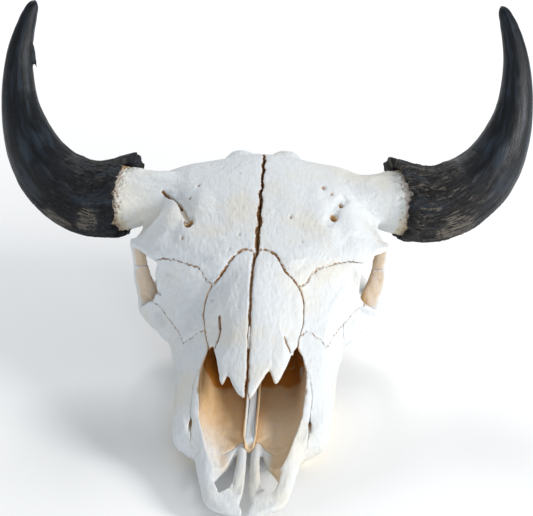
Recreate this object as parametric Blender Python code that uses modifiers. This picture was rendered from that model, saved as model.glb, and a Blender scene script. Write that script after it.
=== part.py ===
# Skull of a young adult bison bull, without its lower jaw, with both horn sheaths on.
# It lies on its cheek teeth and on the two processes beside the condyles, nose to -Y.
# The bone is shaped as one mass, hollowed, and then parted along its sutures.
# Lengths are in millimetres: x across, d behind the tip of the muzzle, z above the floor.

import math

import bmesh
import bpy
import numpy as np
from mathutils import Vector
from mathutils.noise import noise

MM = 0.001

# Middle of the whole skull's box, which is the origin in plan
MIDDLE_X = 3.5
MIDDLE_D = 252.5
MUZZLE_BEND = 3.2
NOSE_SHIFT = -2.2
NOSE_GROOVE = 4.0
NAPE_LEAN = 15.0

# Meshing of the bone: voxel size, rounds of smoothing, triangles kept before it is parted, and share
# of each bone's triangles kept after
MASS_VOXEL = 2.4
MASS_SMOOTHING = 6
FINE_VOXEL = 1.7
FINE_SMOOTHING = 3
BONE_TRIANGLES = 4450
PIECE_SHARE = 0.6

# Gap kept between pieces that touch
GAP = 0.3

# Outline of the face along its length: keys are (d, value)
ROOF_Z = ((0, 17), (6, 21), (14, 25), (30, 29), (55, 36), (75, 50), (90, 66), (105, 90),
          (135, 108), (165, 126), (190, 140), (210, 151), (236, 165.6), (262, 180), (285, 190), (300, 196))
SHOULDER_X = ((0, 9), (9, 21), (14, 30), (30, 35), (55, 41), (75, 46), (90, 50), (115, 55), (135, 58),
              (155, 56), (175, 51), (190, 49), (210, 53), (236, 56), (262, 66), (285, 84), (300, 90))
SHOULDER_Z = ((0, 18), (14, 24), (30, 29), (55, 35), (75, 42), (90, 48), (115, 62), (135, 79),
              (155, 92), (175, 103), (190, 111), (210, 122), (236, 135), (262, 154), (285, 166), (300, 170))
WALL_X = ((0, 12), (5, 17), (9, 27), (14, 37), (30, 42.5), (55, 47.5), (75, 51), (90, 56), (98, 66),
          (106, 73), (120, 75), (145, 76), (165, 75), (190, 76), (210, 78), (236, 83), (262, 95),
          (285, 107), (300, 110))
WALL_Z = ((0, 17), (14, 22), (30, 26), (55, 31), (75, 35), (90, 41), (105, 47), (120, 54),
          (145, 67), (165, 78), (190, 90), (210, 99), (236, 112), (262, 132), (285, 146), (300, 150))
FLANK_X = ((0, 15), (5, 20), (9, 30), (14, 40), (20, 43), (30, 45.5), (55, 50.5), (66, 53), (84, 56.5),
           (95, 65), (101, 74), (110, 81), (122, 83), (145, 84), (165, 85), (195, 86), (220, 88), (236, 92),
           (250, 96.5), (266, 102), (285, 111), (300, 114))
FLANK_Z = ((0, 16), (14, 19), (30, 21), (55, 24), (75, 27), (90, 28), (105, 30), (118, 34), (145, 40),
           (165, 43), (195, 47), (220, 52), (236, 62), (250, 70), (266, 78), (285, 84), (300, 88))
ALVEOLUS_X = ((0, 18), (14, 36), (30, 39), (55, 42), (75, 44), (90, 50), (100, 61), (110, 68), (118, 71),
              (145, 72), (165, 70), (195, 74), (220, 76), (250, 77), (266, 76), (285, 70), (300, 60))
ALVEOLUS_Z = ((0, 13), (30, 15), (55, 16), (75, 18), (90, 20), (118, 22), (195, 22), (220, 23),
              (250, 26), (266, 31), (285, 46), (300, 70))
PALATE_X = ((0, 10), (30, 26), (60, 28), (90, 30), (118, 36), (145, 41), (190, 46), (250, 50), (300, 42))
PALATE_Z = ((0, 12.5), (30, 16), (60, 19), (90, 21), (118, 25), (190, 27), (250, 29), (275, 38), (300, 66))
PALATE_MID_Z = ((0, 12.5), (30, 17), (60, 21), (90, 25), (118, 32), (190, 36), (250, 39), (275, 48),
                (300, 72))

# Forehead plate between the orbits and the horns
BROW_Z = ((252, 174.5), (262, 180), (290, 193.5), (320, 205), (350, 213.5), (380, 219.5), (400, 221.5),
          (420, 219.5), (440, 212.5), (452, 203), (458, 193))
BROW_X = ((252, 62), (262, 84), (275, 102), (290, 120), (303, 132), (316, 140), (328, 139), (343, 133),
          (360, 133), (380, 138), (402, 138), (420, 130), (440, 112), (452, 95), (458, 84))
BROW_EDGE_Z = ((252, 146), (275, 156), (290, 160), (316, 159), (343, 163), (370, 174), (400, 185),
               (420, 187), (440, 182), (458, 178))
BROW_MID_FALL = ((252, 2.2), (316, 3), (343, 3.4), (370, 3.6), (400, 5.5), (440, 6.5), (458, 4))
BROW_SIDE_FALL = ((252, 9.7), (290, 9.7), (316, 13.2), (343, 15), (370, 13.5), (400, 15), (440, 14), (458, 8))
BROW_DEPTH = 26.0

# Brain case and back of the skull
CASE_X = ((285, 40), (310, 50), (340, 58), (370, 65), (400, 72), (425, 78), (440, 70))
CASE_TOP_Z = ((285, 165), (340, 178), (400, 186), (440, 180))
CASE_LOW_Z = ((285, 88), (310, 78), (340, 66), (380, 60), (440, 56))
OCCIPUT_KEYS = (
    (392, 188, 58, 176, 64, 118, 50, 70, 54),
    (410, 194, 82, 180, 90, 116, 68, 70, 52),
    (428, 199, 95, 178, 103, 112, 78, 66, 52),
    (441, 202, 91, 180, 97, 110, 66, 63, 54),
    (450, 200, 74, 182, 76, 114, 48, 66, 58),
    (455, 195, 52, 180, 50, 118, 32, 72, 66),
)
# Free end of each nasal bone in plan, from the midline outwards
NASAL_EDGE = {
    -1: ((-8, 110), (-12.9, 113.5), (-18, 122.5), (-22.2, 132), (-25.2, 137), (-27.6, 131), (-29.8, 127),
         (-34.2, 134), (-38.6, 147.5), (-43, 159.5), (-44.4, 169)),
    1: ((1, 108.5), (5, 114), (10, 125), (15, 136), (18.7, 140), (21.3, 134), (23.9, 128.5), (26.6, 127.5),
        (30.7, 137), (34.6, 148), (38.4, 161), (39.4, 168)),
}
BROW_GROOVE = ((108, 368, 201, 1.2), (98, 357, 196.5, 1.9), (89, 341, 196.3, 2.3), (80, 317, 194.5, 2.3),
               (74.5, 300, 191, 1.6))
BROW_HOLES = {-1: ((77, 306, 193.5, 4.8, 10.5),), 1: ((90, 345, 197.5, 3.7, 7), (82, 321, 196.5, 4.3, 8.5))}
# Course of the canal under each hole: towards the middle, back, down, and how much narrower
BROW_CANAL = ((0, -1, -8, 0), (1, 2, 4, 1), (2, 5, 14, 1.8))
# Canal that opens on the cheek, and the notches in the rim of the right orbit: (x, d, z, half sizes)
CHEEK_CANAL = ((63, 104, 52.5, 1.8, 4.2), (62, 118, 54, 1.8, 4.2), (60, 136, 56, 1.6, 3.6))
RIM_NOTCHES = (((-122, 284, 118.8, 13, 4.4), (-111, 284, 117.6, 13, 2.6), (-101, 284, 116.8, 13, 0.7)),
               ((-124, 284, 135.5, 13, 4.6), (-114, 284, 133.5, 13, 2.2), (-108, 284, 132.4, 13, 0.6)))
FORAMEN_R = 16.0
FORAMEN_Z = 84.0
CONDYLE = (27.0, 451.0, 68.0)
CONDYLE_R = (16.0, 17.0, 24.0)

# Orbit: the hollow, the ring of its edge, and the bar behind it: (x, d, z, half width, half height)
ORBIT_AT = (104.0, 316.0, 130.0)
ORBIT_R = (45.0, 34.0, 36.5)
ORBIT_RING = ((128, 303, 84, 5, 6), (121, 292, 93.5, 4.5, 5.5), (111, 284, 104, 5, 5.5),
              (106, 281, 117, 5, 6), (106.5, 281, 130, 4.5, 5.5), (108.5, 283, 142, 4, 4.5),
              (106, 286, 153, 3.8, 3.8), (113, 292, 158, 3.6, 3.6), (125, 303, 160.5, 3.8, 3.8),
              (136, 315, 158.5, 4.5, 4))
ORBIT_BAR = ((136, 317, 163, 8, 6), (134.5, 321, 148, 8, 4.8), (133, 323, 130, 8.3, 4.2),
             (130, 322, 110, 10.5, 4.2), (125, 316, 96, 12, 5), (124, 308, 86, 10, 6))

# Cheek arch from the face to the jaw joint: (x, d, z, half width, half height)
CHEEK_ARCH = ((92, 248, 80, 5, 9), (99, 260, 81, 8, 13), (107, 279, 81, 7.5, 14.5),
              (114.5, 290, 81, 7, 13.5), (122.5, 300, 81, 7, 11.5), (128.5, 313, 80, 6, 10),
              (131.5, 330, 77, 5.5, 9), (133, 348, 73.5, 5, 8.5), (131, 370, 70.5, 5.5, 8),
              (121, 386, 66, 7, 8))

# Horn: each station is (x, height in the horn's own plane, radius)
HORN_ORIGIN_D = 395.0
HORN_ORIGIN_Z = 176.0
HORN_LEAN = math.radians(28)
HORN = ((128, 3, 43), (152, 1, 43.5), (170, -1, 43), (190, -1, 42.5), (211, 5, 41.5), (238, 22, 37.5),
        (258, 47, 32.5), (272, 79, 26), (279, 108, 20.8), (281, 140, 17), (279.5, 165, 14.2),
        (275, 188, 11.6), (269, 208, 8.6), (265, 218, 5.4), (263, 223, 1.6))
HORN_EXTRA = {1: 4.5, -1: -2.0}
HORN_SIDES = 20
SHEATH_ROWS = 22
CORE_ROWS = 8
SHEATH_START = 0.075
SHEATH_SLANT = 0.36
SHEATH_TURN = math.radians(60)
SLANTED_ROWS = 5.0
SHEATH_WALL = 5.0
SEAT_ROOM = 4.0
SEAT_LEAD = 0.0015
SEAT_END = 0.3
BORE_LEAD = 0.072
HORN_ROUGH = 0.016
FLAKE_ANGLE = 3.45
FLAKE_WIDTH = 0.5
FLAKE_LIFT = 8.0
FLAKE_REACH = 9.0
CORE_END = 0.47
CORE_CLEAR = 0.5
CORE_SPARE = (8.0, 4.0)

# Sutures: upper and lower edge of the cut between frontal and lacrimal, front of the cut under the
# forehead in plan, the lacrimal's front edge in plan, and the limb of the premaxilla as (d, z)
LACRIMAL_TOP = ((41, 239, 200), (52, 248, 200), (62, 256, 195), (78, 261, 188), (85, 263, 183),
                (92, 266, 178), (104, 268, 170), (120, 268, 166), (140, 270, 160))
LACRIMAL_FOOT = ((41, 239, 84), (52, 248, 86), (60, 259, 90), (70, 275, 95), (78, 288, 100), (86, 300, 103),
                 (98, 302, 138), (115, 304, 144), (134, 306, 152))
SHELF_FRONT = ((0, 255), (20, 252), (43, 237), (52, 243), (60, 251), (70, 261), (80, 272), (92, 284))
LACRIMAL_EDGE = ((44, 192), (56, 204), (66, 204), (78, 206), (88, 226), (99, 240))
PREMAXILLA_LIMB = ((86, 35), (100, 42), (120, 53), (145, 72), (178, 98))

# Cheek teeth from front to back: length, width
TEETH = ((16, 15), (18, 18), (18, 21), (24, 24), (28, 25), (31, 24))
TOOTH_ROW = ((122, 48), (150, 53), (190, 60), (230, 63), (265, 61))
TOOTH_ROOT_Z = 36.0
TOOTH_SIDES = 12


def at(x, d, z):
    """Point in metres. The muzzle bends a little towards -x at its free end."""
    bend = min(1.0, max(0.0, (190 - d) / 130))
    x -= MUZZLE_BEND * bend * bend * (3 - 2 * bend)
    return Vector(((x - MIDDLE_X) * MM, (d - MIDDLE_D) * MM, z * MM))


def key(table, d):
    """Smooth value of a table of (d, value) keys, level beyond its ends."""
    xs = [k[0] for k in table]
    ys = [k[1] for k in table]
    if d <= xs[0]:
        return ys[0]
    if d >= xs[-1]:
        return ys[-1]
    i = max(j for j in range(len(xs)) if xs[j] <= d)
    span = xs[i + 1] - xs[i]
    t = (d - xs[i]) / span
    rise = (ys[i + 1] - ys[i]) / span
    before = (ys[i] - ys[i - 1]) / (xs[i] - xs[i - 1]) if i > 0 else rise
    after = (ys[i + 2] - ys[i + 1]) / (xs[i + 2] - xs[i + 1]) if i + 2 < len(xs) else rise
    m0 = 0.0 if before * rise <= 0 else 2 * before * rise / (before + rise)
    m1 = 0.0 if after * rise <= 0 else 2 * after * rise / (after + rise)
    h00 = 2 * t ** 3 - 3 * t ** 2 + 1
    h10 = t ** 3 - 2 * t ** 2 + t
    h01 = 3 * t ** 2 - 2 * t ** 3
    h11 = t ** 3 - t ** 2
    return h00 * ys[i] + h10 * span * m0 + h01 * ys[i + 1] + h11 * span * m1


def path(points, count):
    """Points at even steps along a smooth curve through the given ones."""
    p = np.array(points, float)
    steps = np.maximum(np.linalg.norm(np.diff(p[:, :3], axis=0), axis=1), 1e-6)
    run = np.concatenate(([0.0], np.cumsum(steps)))
    places = np.linspace(0.0, run[-1], count)
    columns = [[spline_value(run, p[:, k], s) for s in places] for k in range(p.shape[1])]
    return np.array(columns).T


def spline_value(run, values, s):
    i = int(min(max(np.searchsorted(run, s, side="right") - 1, 0), len(run) - 2))
    span = run[i + 1] - run[i]
    t = (s - run[i]) / span
    before = (values[i + 1] - values[i - 1]) / (run[i + 1] - run[i - 1]) if i > 0 else \
        (values[i + 1] - values[i]) / span
    after = (values[i + 2] - values[i]) / (run[i + 2] - run[i]) if i + 2 < len(run) else \
        (values[i + 1] - values[i]) / span
    h00 = 2 * t ** 3 - 3 * t ** 2 + 1
    h10 = t ** 3 - 2 * t ** 2 + t
    h01 = 3 * t ** 2 - 2 * t ** 3
    h11 = t ** 3 - t ** 2
    return h00 * values[i] + h10 * span * before + h01 * values[i + 1] + h11 * span * after


def closed_ring(half, per=4):
    """Closed smooth ring from the +x half of a section, listed from top to bottom."""
    ring = [Vector((x, z)) for x, z in half]
    ring += [Vector((-x, z)) for x, z in reversed(half[1:-1])]
    out = []
    n = len(ring)
    for i in range(n):
        a, b, c, e = ring[i - 1], ring[i], ring[(i + 1) % n], ring[(i + 2) % n]
        for k in range(per):
            t = k / per
            out.append(b + (c - a) * (t - 2 * t * t + t ** 3) * 0.45 +
                       (c - b) * (3 * t * t - 2 * t ** 3) + (e - b) * (t ** 3 - t * t) * 0.45)
    return out


def mesh_object(name, bm, collection):
    bmesh.ops.recalc_face_normals(bm, faces=bm.faces)
    mesh = bpy.data.meshes.new(name)
    bm.to_mesh(mesh)
    bm.free()
    obj = bpy.data.objects.new(name, mesh)
    collection.objects.link(obj)
    return obj


def loft(name, rings, collection):
    """Closed body between rings of equal count, with flat ends."""
    bm = bmesh.new()
    rows = [[bm.verts.new(p) for p in ring] for ring in rings]
    for low, high in zip(rows, rows[1:]):
        for i in range(len(low)):
            j = (i + 1) % len(low)
            bm.faces.new((low[i], low[j], high[j], high[i]))
    bm.faces.new(rows[0])
    bm.faces.new(list(reversed(rows[-1])))
    bmesh.ops.triangulate(bm, faces=bm.faces[:])
    return mesh_object(name, bm, collection)


def body(name, first, last, step, half_at, collection):
    """Loft along the skull of the sections that half_at gives."""
    count = max(2, round((last - first) / step)) + 1
    rings = []
    for d in np.linspace(first, last, count):
        rings.append([at(p.x, d, p.y) for p in closed_ring(half_at(d))])
    return loft(name, rings, collection)


def bar(name, stations, count, sides, collection, up=(0, 0, 1), square=1.0):
    """Smooth tapering bar: a station is (x, d, z, half width, half height)."""
    rows = path(stations, count)
    rings = []
    for i, row in enumerate(rows):
        ahead = rows[min(i + 1, count - 1)][:3]
        behind = rows[max(i - 1, 0)][:3]
        along = Vector(ahead - behind).normalized()
        side = along.cross(Vector(up)).normalized()
        top = side.cross(along).normalized()
        ring = []
        for k in range(sides):
            a = math.tau * k / sides
            c = math.copysign(abs(math.cos(a)) ** square, math.cos(a))
            s = math.copysign(abs(math.sin(a)) ** square, math.sin(a))
            p = Vector(row[:3]) + side * (row[3] * c) + top * (row[4] * s)
            ring.append(at(*p))
        rings.append(ring)
    return loft(name, rings, collection)


def egg(name, centre, radii, collection, turn=0.0, segments=24, rings=14):
    """Sphere stretched to three radii, turned about x, at a centre."""
    bm = bmesh.new()
    bmesh.ops.create_uvsphere(bm, u_segments=segments, v_segments=rings, radius=1.0)
    c, s = math.cos(turn), math.sin(turn)
    for v in bm.verts:
        x, y, z = v.co.x * radii[0], v.co.y * radii[1], v.co.z * radii[2]
        v.co = at(centre[0] + x, centre[1] + y * c - z * s, centre[2] + y * s + z * c)
    return mesh_object(name, bm, collection)


def column(name, outline, low, high, collection):
    """Upright prism over a plan outline of (x, d) points."""
    bm = bmesh.new()
    floor = [bm.verts.new(at(x, d, low)) for x, d in outline]
    roof = [bm.verts.new(at(x, d, high)) for x, d in outline]
    n = len(outline)
    for i in range(n):
        j = (i + 1) % n
        bm.faces.new((floor[i], floor[j], roof[j], roof[i]))
    bm.faces.new(list(reversed(floor)))
    bm.faces.new(roof)
    bmesh.ops.triangulate(bm, faces=[f for f in bm.faces if len(f.verts) > 4])
    return mesh_object(name, bm, collection)


def ribbon(name, edge_a, edge_b, collection, width=GAP, wave=0.0, pitch=18.0, step=None, seed=0):
    """Thin closed sheet between two edges, waved across itself like a suture.

    width is one value or a pair for the two ends; step None keeps the edges' own points."""
    a = np.array(edge_a, float)
    b = np.array(edge_b, float)
    run = max(np.linalg.norm(np.diff(a, axis=0), axis=1).sum(), np.linalg.norm(np.diff(b, axis=0),
                                                                               axis=1).sum())
    count = len(a) if step is None else max(2, int(run / step) + 1)
    share = np.linspace(0, 1, len(a))
    ends = (width, width) if isinstance(width, (int, float)) else width
    rings = []
    for i in range(count):
        t = i / (count - 1)
        pa = Vector([spline_value(share, a[:, k], t) for k in range(3)])
        pb = Vector([spline_value(share, b[:, k], t) for k in range(3)])
        t2 = min(t + 0.01, 1.0)
        t1 = t2 - 0.01
        normals = []
        for rail in (a, b):
            along = Vector([spline_value(share, rail[:, k], t2) - spline_value(share, rail[:, k], t1)
                            for k in range(3)])
            normals.append(along.cross(pb - pa).normalized())
        across_a, across_b = normals
        s = t * run / pitch
        shift = wave * (0.75 * math.sin(math.tau * s + seed) + 0.8 * noise(Vector((s * 2.7, seed * 3.1,
                                                                                   0.5))))
        half = (ends[0] * (1 - t) + ends[1] * t) / 2
        mid_a = pa + across_a * shift
        mid_b = pb + across_b * shift
        rings.append([at(*p) for p in (mid_a + across_a * half, mid_b + across_b * half,
                                       mid_b - across_b * half, mid_a - across_a * half)])
    bm = bmesh.new()
    rows = [[bm.verts.new(p) for p in ring] for ring in rings]
    for low, high in zip(rows, rows[1:]):
        # Both sides get the same diagonal, so that a twisted sheet keeps its width
        for a1, b1, a2, b2 in ((low[0], low[1], high[0], high[1]), (low[3], low[2], high[3], high[2]),
                               (low[1], low[2], high[1], high[2]), (low[0], low[3], high[0], high[3])):
            bm.faces.new((a1, b1, b2))
            bm.faces.new((a1, b2, a2))
    for row in (rows[0], rows[-1]):
        bm.faces.new((row[0], row[1], row[2]))
        bm.faces.new((row[0], row[2], row[3]))
    return mesh_object(name, bm, collection)


def settled(obj):
    """Object's mesh with its modifiers applied."""
    graph = bpy.context.evaluated_depsgraph_get()
    graph.update()
    mesh = bpy.data.meshes.new_from_object(obj.evaluated_get(graph))
    old = obj.data
    obj.modifiers.clear()
    obj.data = mesh
    mesh.name = obj.name
    if old.users == 0:
        bpy.data.meshes.remove(old)
    return obj


def boolean(obj, other, operation="DIFFERENCE", solver="EXACT", keep=False):
    """Boolean with another object, which is then removed."""
    mod = obj.modifiers.new("boolean", "BOOLEAN")
    mod.operation = operation
    mod.solver = solver
    mod.object = other
    settled(obj)
    if not keep:
        drop(other)
    return obj


def drop(obj):
    mesh = obj.data
    bpy.data.objects.remove(obj)
    if mesh.users == 0:
        bpy.data.meshes.remove(mesh)


def joined(name, objects, collection):
    """One object that holds the closed bodies of several."""
    bm = bmesh.new()
    for obj in objects:
        bm.from_mesh(obj.data)
        drop(obj)
    return mesh_object(name, bm, collection)


def fused(obj, voxel, smoothing, factor=0.5):
    """Overlapping closed bodies made one skin, with softened joins."""
    mod = obj.modifiers.new("skin", "REMESH")
    mod.mode = "VOXEL"
    mod.voxel_size = voxel * MM
    mod.adaptivity = 0.0
    soft = obj.modifiers.new("soft", "SMOOTH")
    soft.factor = factor
    soft.iterations = smoothing
    return settled(obj)


def triangle_count(obj):
    return sum(len(p.vertices) - 2 for p in obj.data.polygons)


def thinned(obj, triangles):
    mod = obj.modifiers.new("thin", "DECIMATE")
    mod.decimate_type = "COLLAPSE"
    mod.ratio = min(1.0, triangles / triangle_count(obj))
    mod.use_collapse_triangulate = True
    return settled(obj)


def loose_parts(obj):
    """Lists of face indices of an object's separate bodies, largest first."""
    bm = bmesh.new()
    bm.from_mesh(obj.data)
    bm.faces.ensure_lookup_table()
    seen = set()
    parts = []
    for face in bm.faces:
        if face.index in seen:
            continue
        seen.add(face.index)
        stack = [face]
        part = []
        while stack:
            f = stack.pop()
            part.append(f.index)
            for e in f.edges:
                for g in e.link_faces:
                    if g.index not in seen:
                        seen.add(g.index)
                        stack.append(g)
        parts.append(part)
    bm.free()
    parts.sort(key=len, reverse=True)
    return parts


def part_object(name, obj, faces, collection):
    """New object from some of an object's faces."""
    bm = bmesh.new()
    bm.from_mesh(obj.data)
    bm.faces.ensure_lookup_table()
    keep = set(faces)
    bmesh.ops.delete(bm, geom=[f for f in bm.faces if f.index not in keep], context="FACES")
    return mesh_object(name, bm, collection)


def largest(obj):
    """Keeps only an object's largest closed body."""
    parts = loose_parts(obj)
    if len(parts) > 1:
        bm = bmesh.new()
        bm.from_mesh(obj.data)
        bm.faces.ensure_lookup_table()
        keep = set(parts[0])
        bmesh.ops.delete(bm, geom=[f for f in bm.faces if f.index not in keep], context="FACES")
        bm.to_mesh(obj.data)
        bm.free()
    return obj


# Sections of the bone mass

def face_half(d):
    roof = key(ROOF_Z, d)
    sx, sz = key(SHOULDER_X, d), key(SHOULDER_Z, d)
    return [(0, roof), (sx * 0.55, roof - 0.33 * (roof - sz)), (sx, sz), (key(WALL_X, d), key(WALL_Z, d)),
            (key(FLANK_X, d), key(FLANK_Z, d)), (key(ALVEOLUS_X, d), key(ALVEOLUS_Z, d)),
            (key(PALATE_X, d), key(PALATE_Z, d)), (0, key(PALATE_MID_Z, d))]


def brow_half(d):
    top, half = key(BROW_Z, d), key(BROW_X, d)
    edge = key(BROW_EDGE_Z, d)
    low = edge - 6
    return [(0, top), (half * 0.35, top - key(BROW_MID_FALL, d)), (half * 0.68, top - key(BROW_SIDE_FALL, d)),
            (half * 0.93, edge + 5.5), (half, edge - 1), (half * 0.93, edge - 9),
            (half * 0.62, low - 4), (half * 0.3, top - BROW_DEPTH - 16), (0, top - BROW_DEPTH - 16)]


def case_half(d):
    half, top, low = key(CASE_X, d), key(CASE_TOP_Z, d), key(CASE_LOW_Z, d)
    mid = (top + low) / 2
    return [(0, top), (half * 0.8, top - 8), (half, mid + 8), (half * 0.9, mid - 22),
            (half * 0.55, low + 3), (0, low)]


def occiput_half(d):
    top, wx, wz, mx, mz, lx, lz, low = [key([(k[0], k[i]) for k in OCCIPUT_KEYS], d) for i in range(1, 9)]
    return [(0, top), (wx * 0.6, (top + wz) / 2 + 5), (wx, wz), (mx + 2, (wz + mz) / 2), (mx, mz), (lx, lz),
            (lx * 0.5, low), (0, low)]


def cavity_half(d):
    """Section of the nasal cavity. It is open above in front of the nasal bones' roots."""
    floor = key(((18, 26.5), (35, 25), (50, 25.5), (75, 28), (100, 33), (120, 40), (150, 45), (200, 48),
                 (250, 52), (280, 56)), d)
    low_x = key(((18, 13), (35, 21), (50, 26), (75, 34), (95, 38), (120, 44), (150, 47), (200, 46),
                 (250, 42), (280, 30)), d)
    side_x = key(((18, 16), (35, 25), (50, 30), (75, 40), (95, 46), (120, 53), (150, 55), (185, 55),
                  (215, 60), (250, 58), (280, 40)), d)
    side_z = key(((18, 29), (35, 31), (50, 33), (75, 38), (95, 46), (120, 58), (150, 72), (185, 86),
                  (215, 96), (250, 112), (280, 110)), d)
    high_x = key(((18, 18), (35, 28), (50, 33), (75, 42), (95, 49), (120, 54.5), (150, 54.5), (178, 46),
                  (186, 46), (215, 49), (250, 52), (280, 34)), d)
    high_z = key(((18, 36), (35, 48), (50, 60), (75, 70), (95, 90), (120, 108), (150, 112), (178, 112),
                  (186, 103), (215, 113), (250, 134), (280, 138)), d)
    roof = key(((18, 40), (35, 64), (50, 80), (95, 130), (172, 150), (180, 138), (188, 131), (215, 146),
                (250, 165), (268, 170), (280, 152)), d)
    return [(0, roof), (high_x * 0.55, roof - 0.3 * (roof - high_z)), (high_x, high_z), (side_x, side_z),
            (low_x, floor + 6), (low_x * 0.8, floor), (0, floor)]


def mass(work):
    """Main volumes of the bone, fused and hollowed."""
    parts = [ body("face", 0.5, 300, 4, face_half, work), body("brow", 252, 458, 4, brow_half, work),
             body("brain_case", 285, 440, 6, case_half, work), body("occiput", 392, 455, 4, occiput_half,
                                                                    work),
                                                                    bar("skull_base",
                                                                        ((0, 285, 80, 30, 22),
                                                                         (0, 340, 62, 24, 16),
                                                                         (0, 400, 54, 21, 12),
                                                                         (0, 452, 52, 24, 13)), 14, 16,
                                                                         work),
                                                                         egg("occipital_knob",
                                                                             (0, 452, 176), (20, 10, 18),
                                                                             work), ]
    for s in (-1, 1):
        parts.append(bar("pedicle", ((s * 84, 392, 184, 30, 22), (s * 112, 393, 182, 33, 26),
                                     (s * 134, 394, 178, 34, 31), (s * 150, 395, 176, 35.6, 34.8),
                                     (s * 160, 395, 175.5, 37.4, 37), (s * 169, 395, 175.5, 38, 38)), 12,
                                     22, work))
        parts.append(bar("arch_root", ((s * 58, 400, 92, 26, 20), (s * 84, 402, 82, 22, 14),
                                       (s * 106, 397, 72, 15, 10), (s * 119, 388, 67, 9, 8.5)), 9, 14, work))
        parts.append(egg("crown_knob", (s * 25, 439, 203), (19, 20, 10.5), work))
        parts.append(egg("ear_bulla", (s * 42, 398, 47), (12, 20, 17), work))
        parts.append(bar("mastoid", ((s * 76, 424, 120, 18, 14), (s * 82, 426, 92, 17, 13),
                                     (s * 72, 430, 66, 14, 12)), 8, 12, work, up=(0, 1, 0)))
    whole = fused(joined("skull_mass", parts, work), MASS_VOXEL, MASS_SMOOTHING)
    boolean(whole, body("nasal_cavity", 18, 280, 5, cavity_half, work), solver="MANIFOLD")
    for s in (-1, 1):
        # Valley along the groove of the forehead, and the two hollows above the foramen magnum
        valley = bar("brow_valley", [(s * x, d, z + 6.5, 8.5, 9.5) for x, d, z, half in BROW_GROOVE[1:]],
                     12, 14, work)
        boolean(whole, valley, solver="MANIFOLD")
        boolean(whole, egg("nape_hollow", (s * 36, 467, 148), (27, 17, 32), work), solver="MANIFOLD")
        hollow = egg("orbit", (s * ORBIT_AT[0], ORBIT_AT[1], ORBIT_AT[2]), ORBIT_R, work, segments=40,
                     rings=24)
        boolean(whole, hollow, solver="MANIFOLD")
    return whole


def mirrored(s, stations):
    return [(s * station[0],) + station[1:] for station in stations]


def trimmings(work):
    """Rims, arches, crests and the free ends of the bones."""
    parts = []
    for s in (-1, 1):
        parts.append(bar("orbit_rim", mirrored(s, ORBIT_RING), 30, 10, work, up=(s, 0.1, 0)))
        parts.append(bar("orbit_bar", mirrored(s, ORBIT_BAR), 16, 12, work, up=(0, 1, 0), square=0.8))
        parts.append(bar("cheek_arch", mirrored(s, CHEEK_ARCH), 24, 12, work))
        parts.append(bar("paracondylar", ((s * 66, 432, 84, 10, 14), (s * 63, 434, 56, 8, 12),
                                          (s * 56, 433, 28, 6, 9.5), (s * 50, 430, 6, 5, 7.5),
                                          (s * 49, 429, -3, 4.5, 7)), 12, 12, work, up=(0, 1, 0)))
        parts.append(egg("condyle", (s * CONDYLE[0], CONDYLE[1], CONDYLE[2]), CONDYLE_R, work, turn=-0.25))
        parts.append(bar("nuchal_crest", ((0, 452, 198, 7, 5), (s * 40, 450, 194, 6, 5),
                                          (s * 76, 444, 184, 6, 5), (s * 96, 434, 164, 5.5, 5),
                                          (s * 102, 428, 134, 6, 5), (s * 96, 427, 106, 7, 6)), 20, 10,
                                          work, up=(0, 1, 0)))
        parts.append(bar("pterygoid", ((s * 34, 262, 44, 4, 9), (s * 31, 290, 56, 2.6, 18),
                                       (s * 27, 315, 62, 2.4, 18), (s * 24, 335, 60, 3, 12)), 12, 12, work,
                                       square=0.7))
        parts.append(bar("prong", ((s * 9.5, 26, 20, 5.5, 4.5), (s * 9, 45, 22.5, 4.6, 4.5),
                                   (s * 7.5, 72, 27, 4.2, 4.2), (s * 7, 106, 32, 3.8, 4.0)), 9, 10, work))
    count = 26
    rings = []
    for d in np.linspace(103, 196, count):
        top = key(ROOF_Z, d)
        half = key(((103, 32), (130, 33.5), (150, 37.5), (175, 43.5), (196, 49)), d)
        fall = key(((103, 7), (127, 9), (150, 13), (175, 22), (196, 29)), d)
        outer = [(half * u, top - fall * abs(u) ** 2.0) for u in np.linspace(-1, 1, 19)]
        inner = [(x * 0.985, z - 5.4 + 1.2 * (x / half) ** 2) for x, z in reversed(outer)]
        rings.append([at(x, d, z) for x, z in outer + inner])
    parts.append(loft("nasal_plate", rings, work))
    return parts


# Cutters for openings of the bone

def notch_outline(s):
    """Plan of what lies in front of one nasal bone's free end."""
    return [(-4, 108)] + list(NASAL_EDGE[s]) + [(s * 47, 170), (s * 50, 160), (s * 54, 148), (s * 60, 134),
                                                (s * 60, 92), (-4, 92)]


def fissure_outline(s):
    keys = ((11, 107), (15, 94), (21.5, 76), (30.5, 62), (34.5, 55), (33.5, 41), (27.5, 25), (20, 30),
            (14.5, 50), (11.5, 80))
    return [(s * x, d) for x, d in keys]


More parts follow.
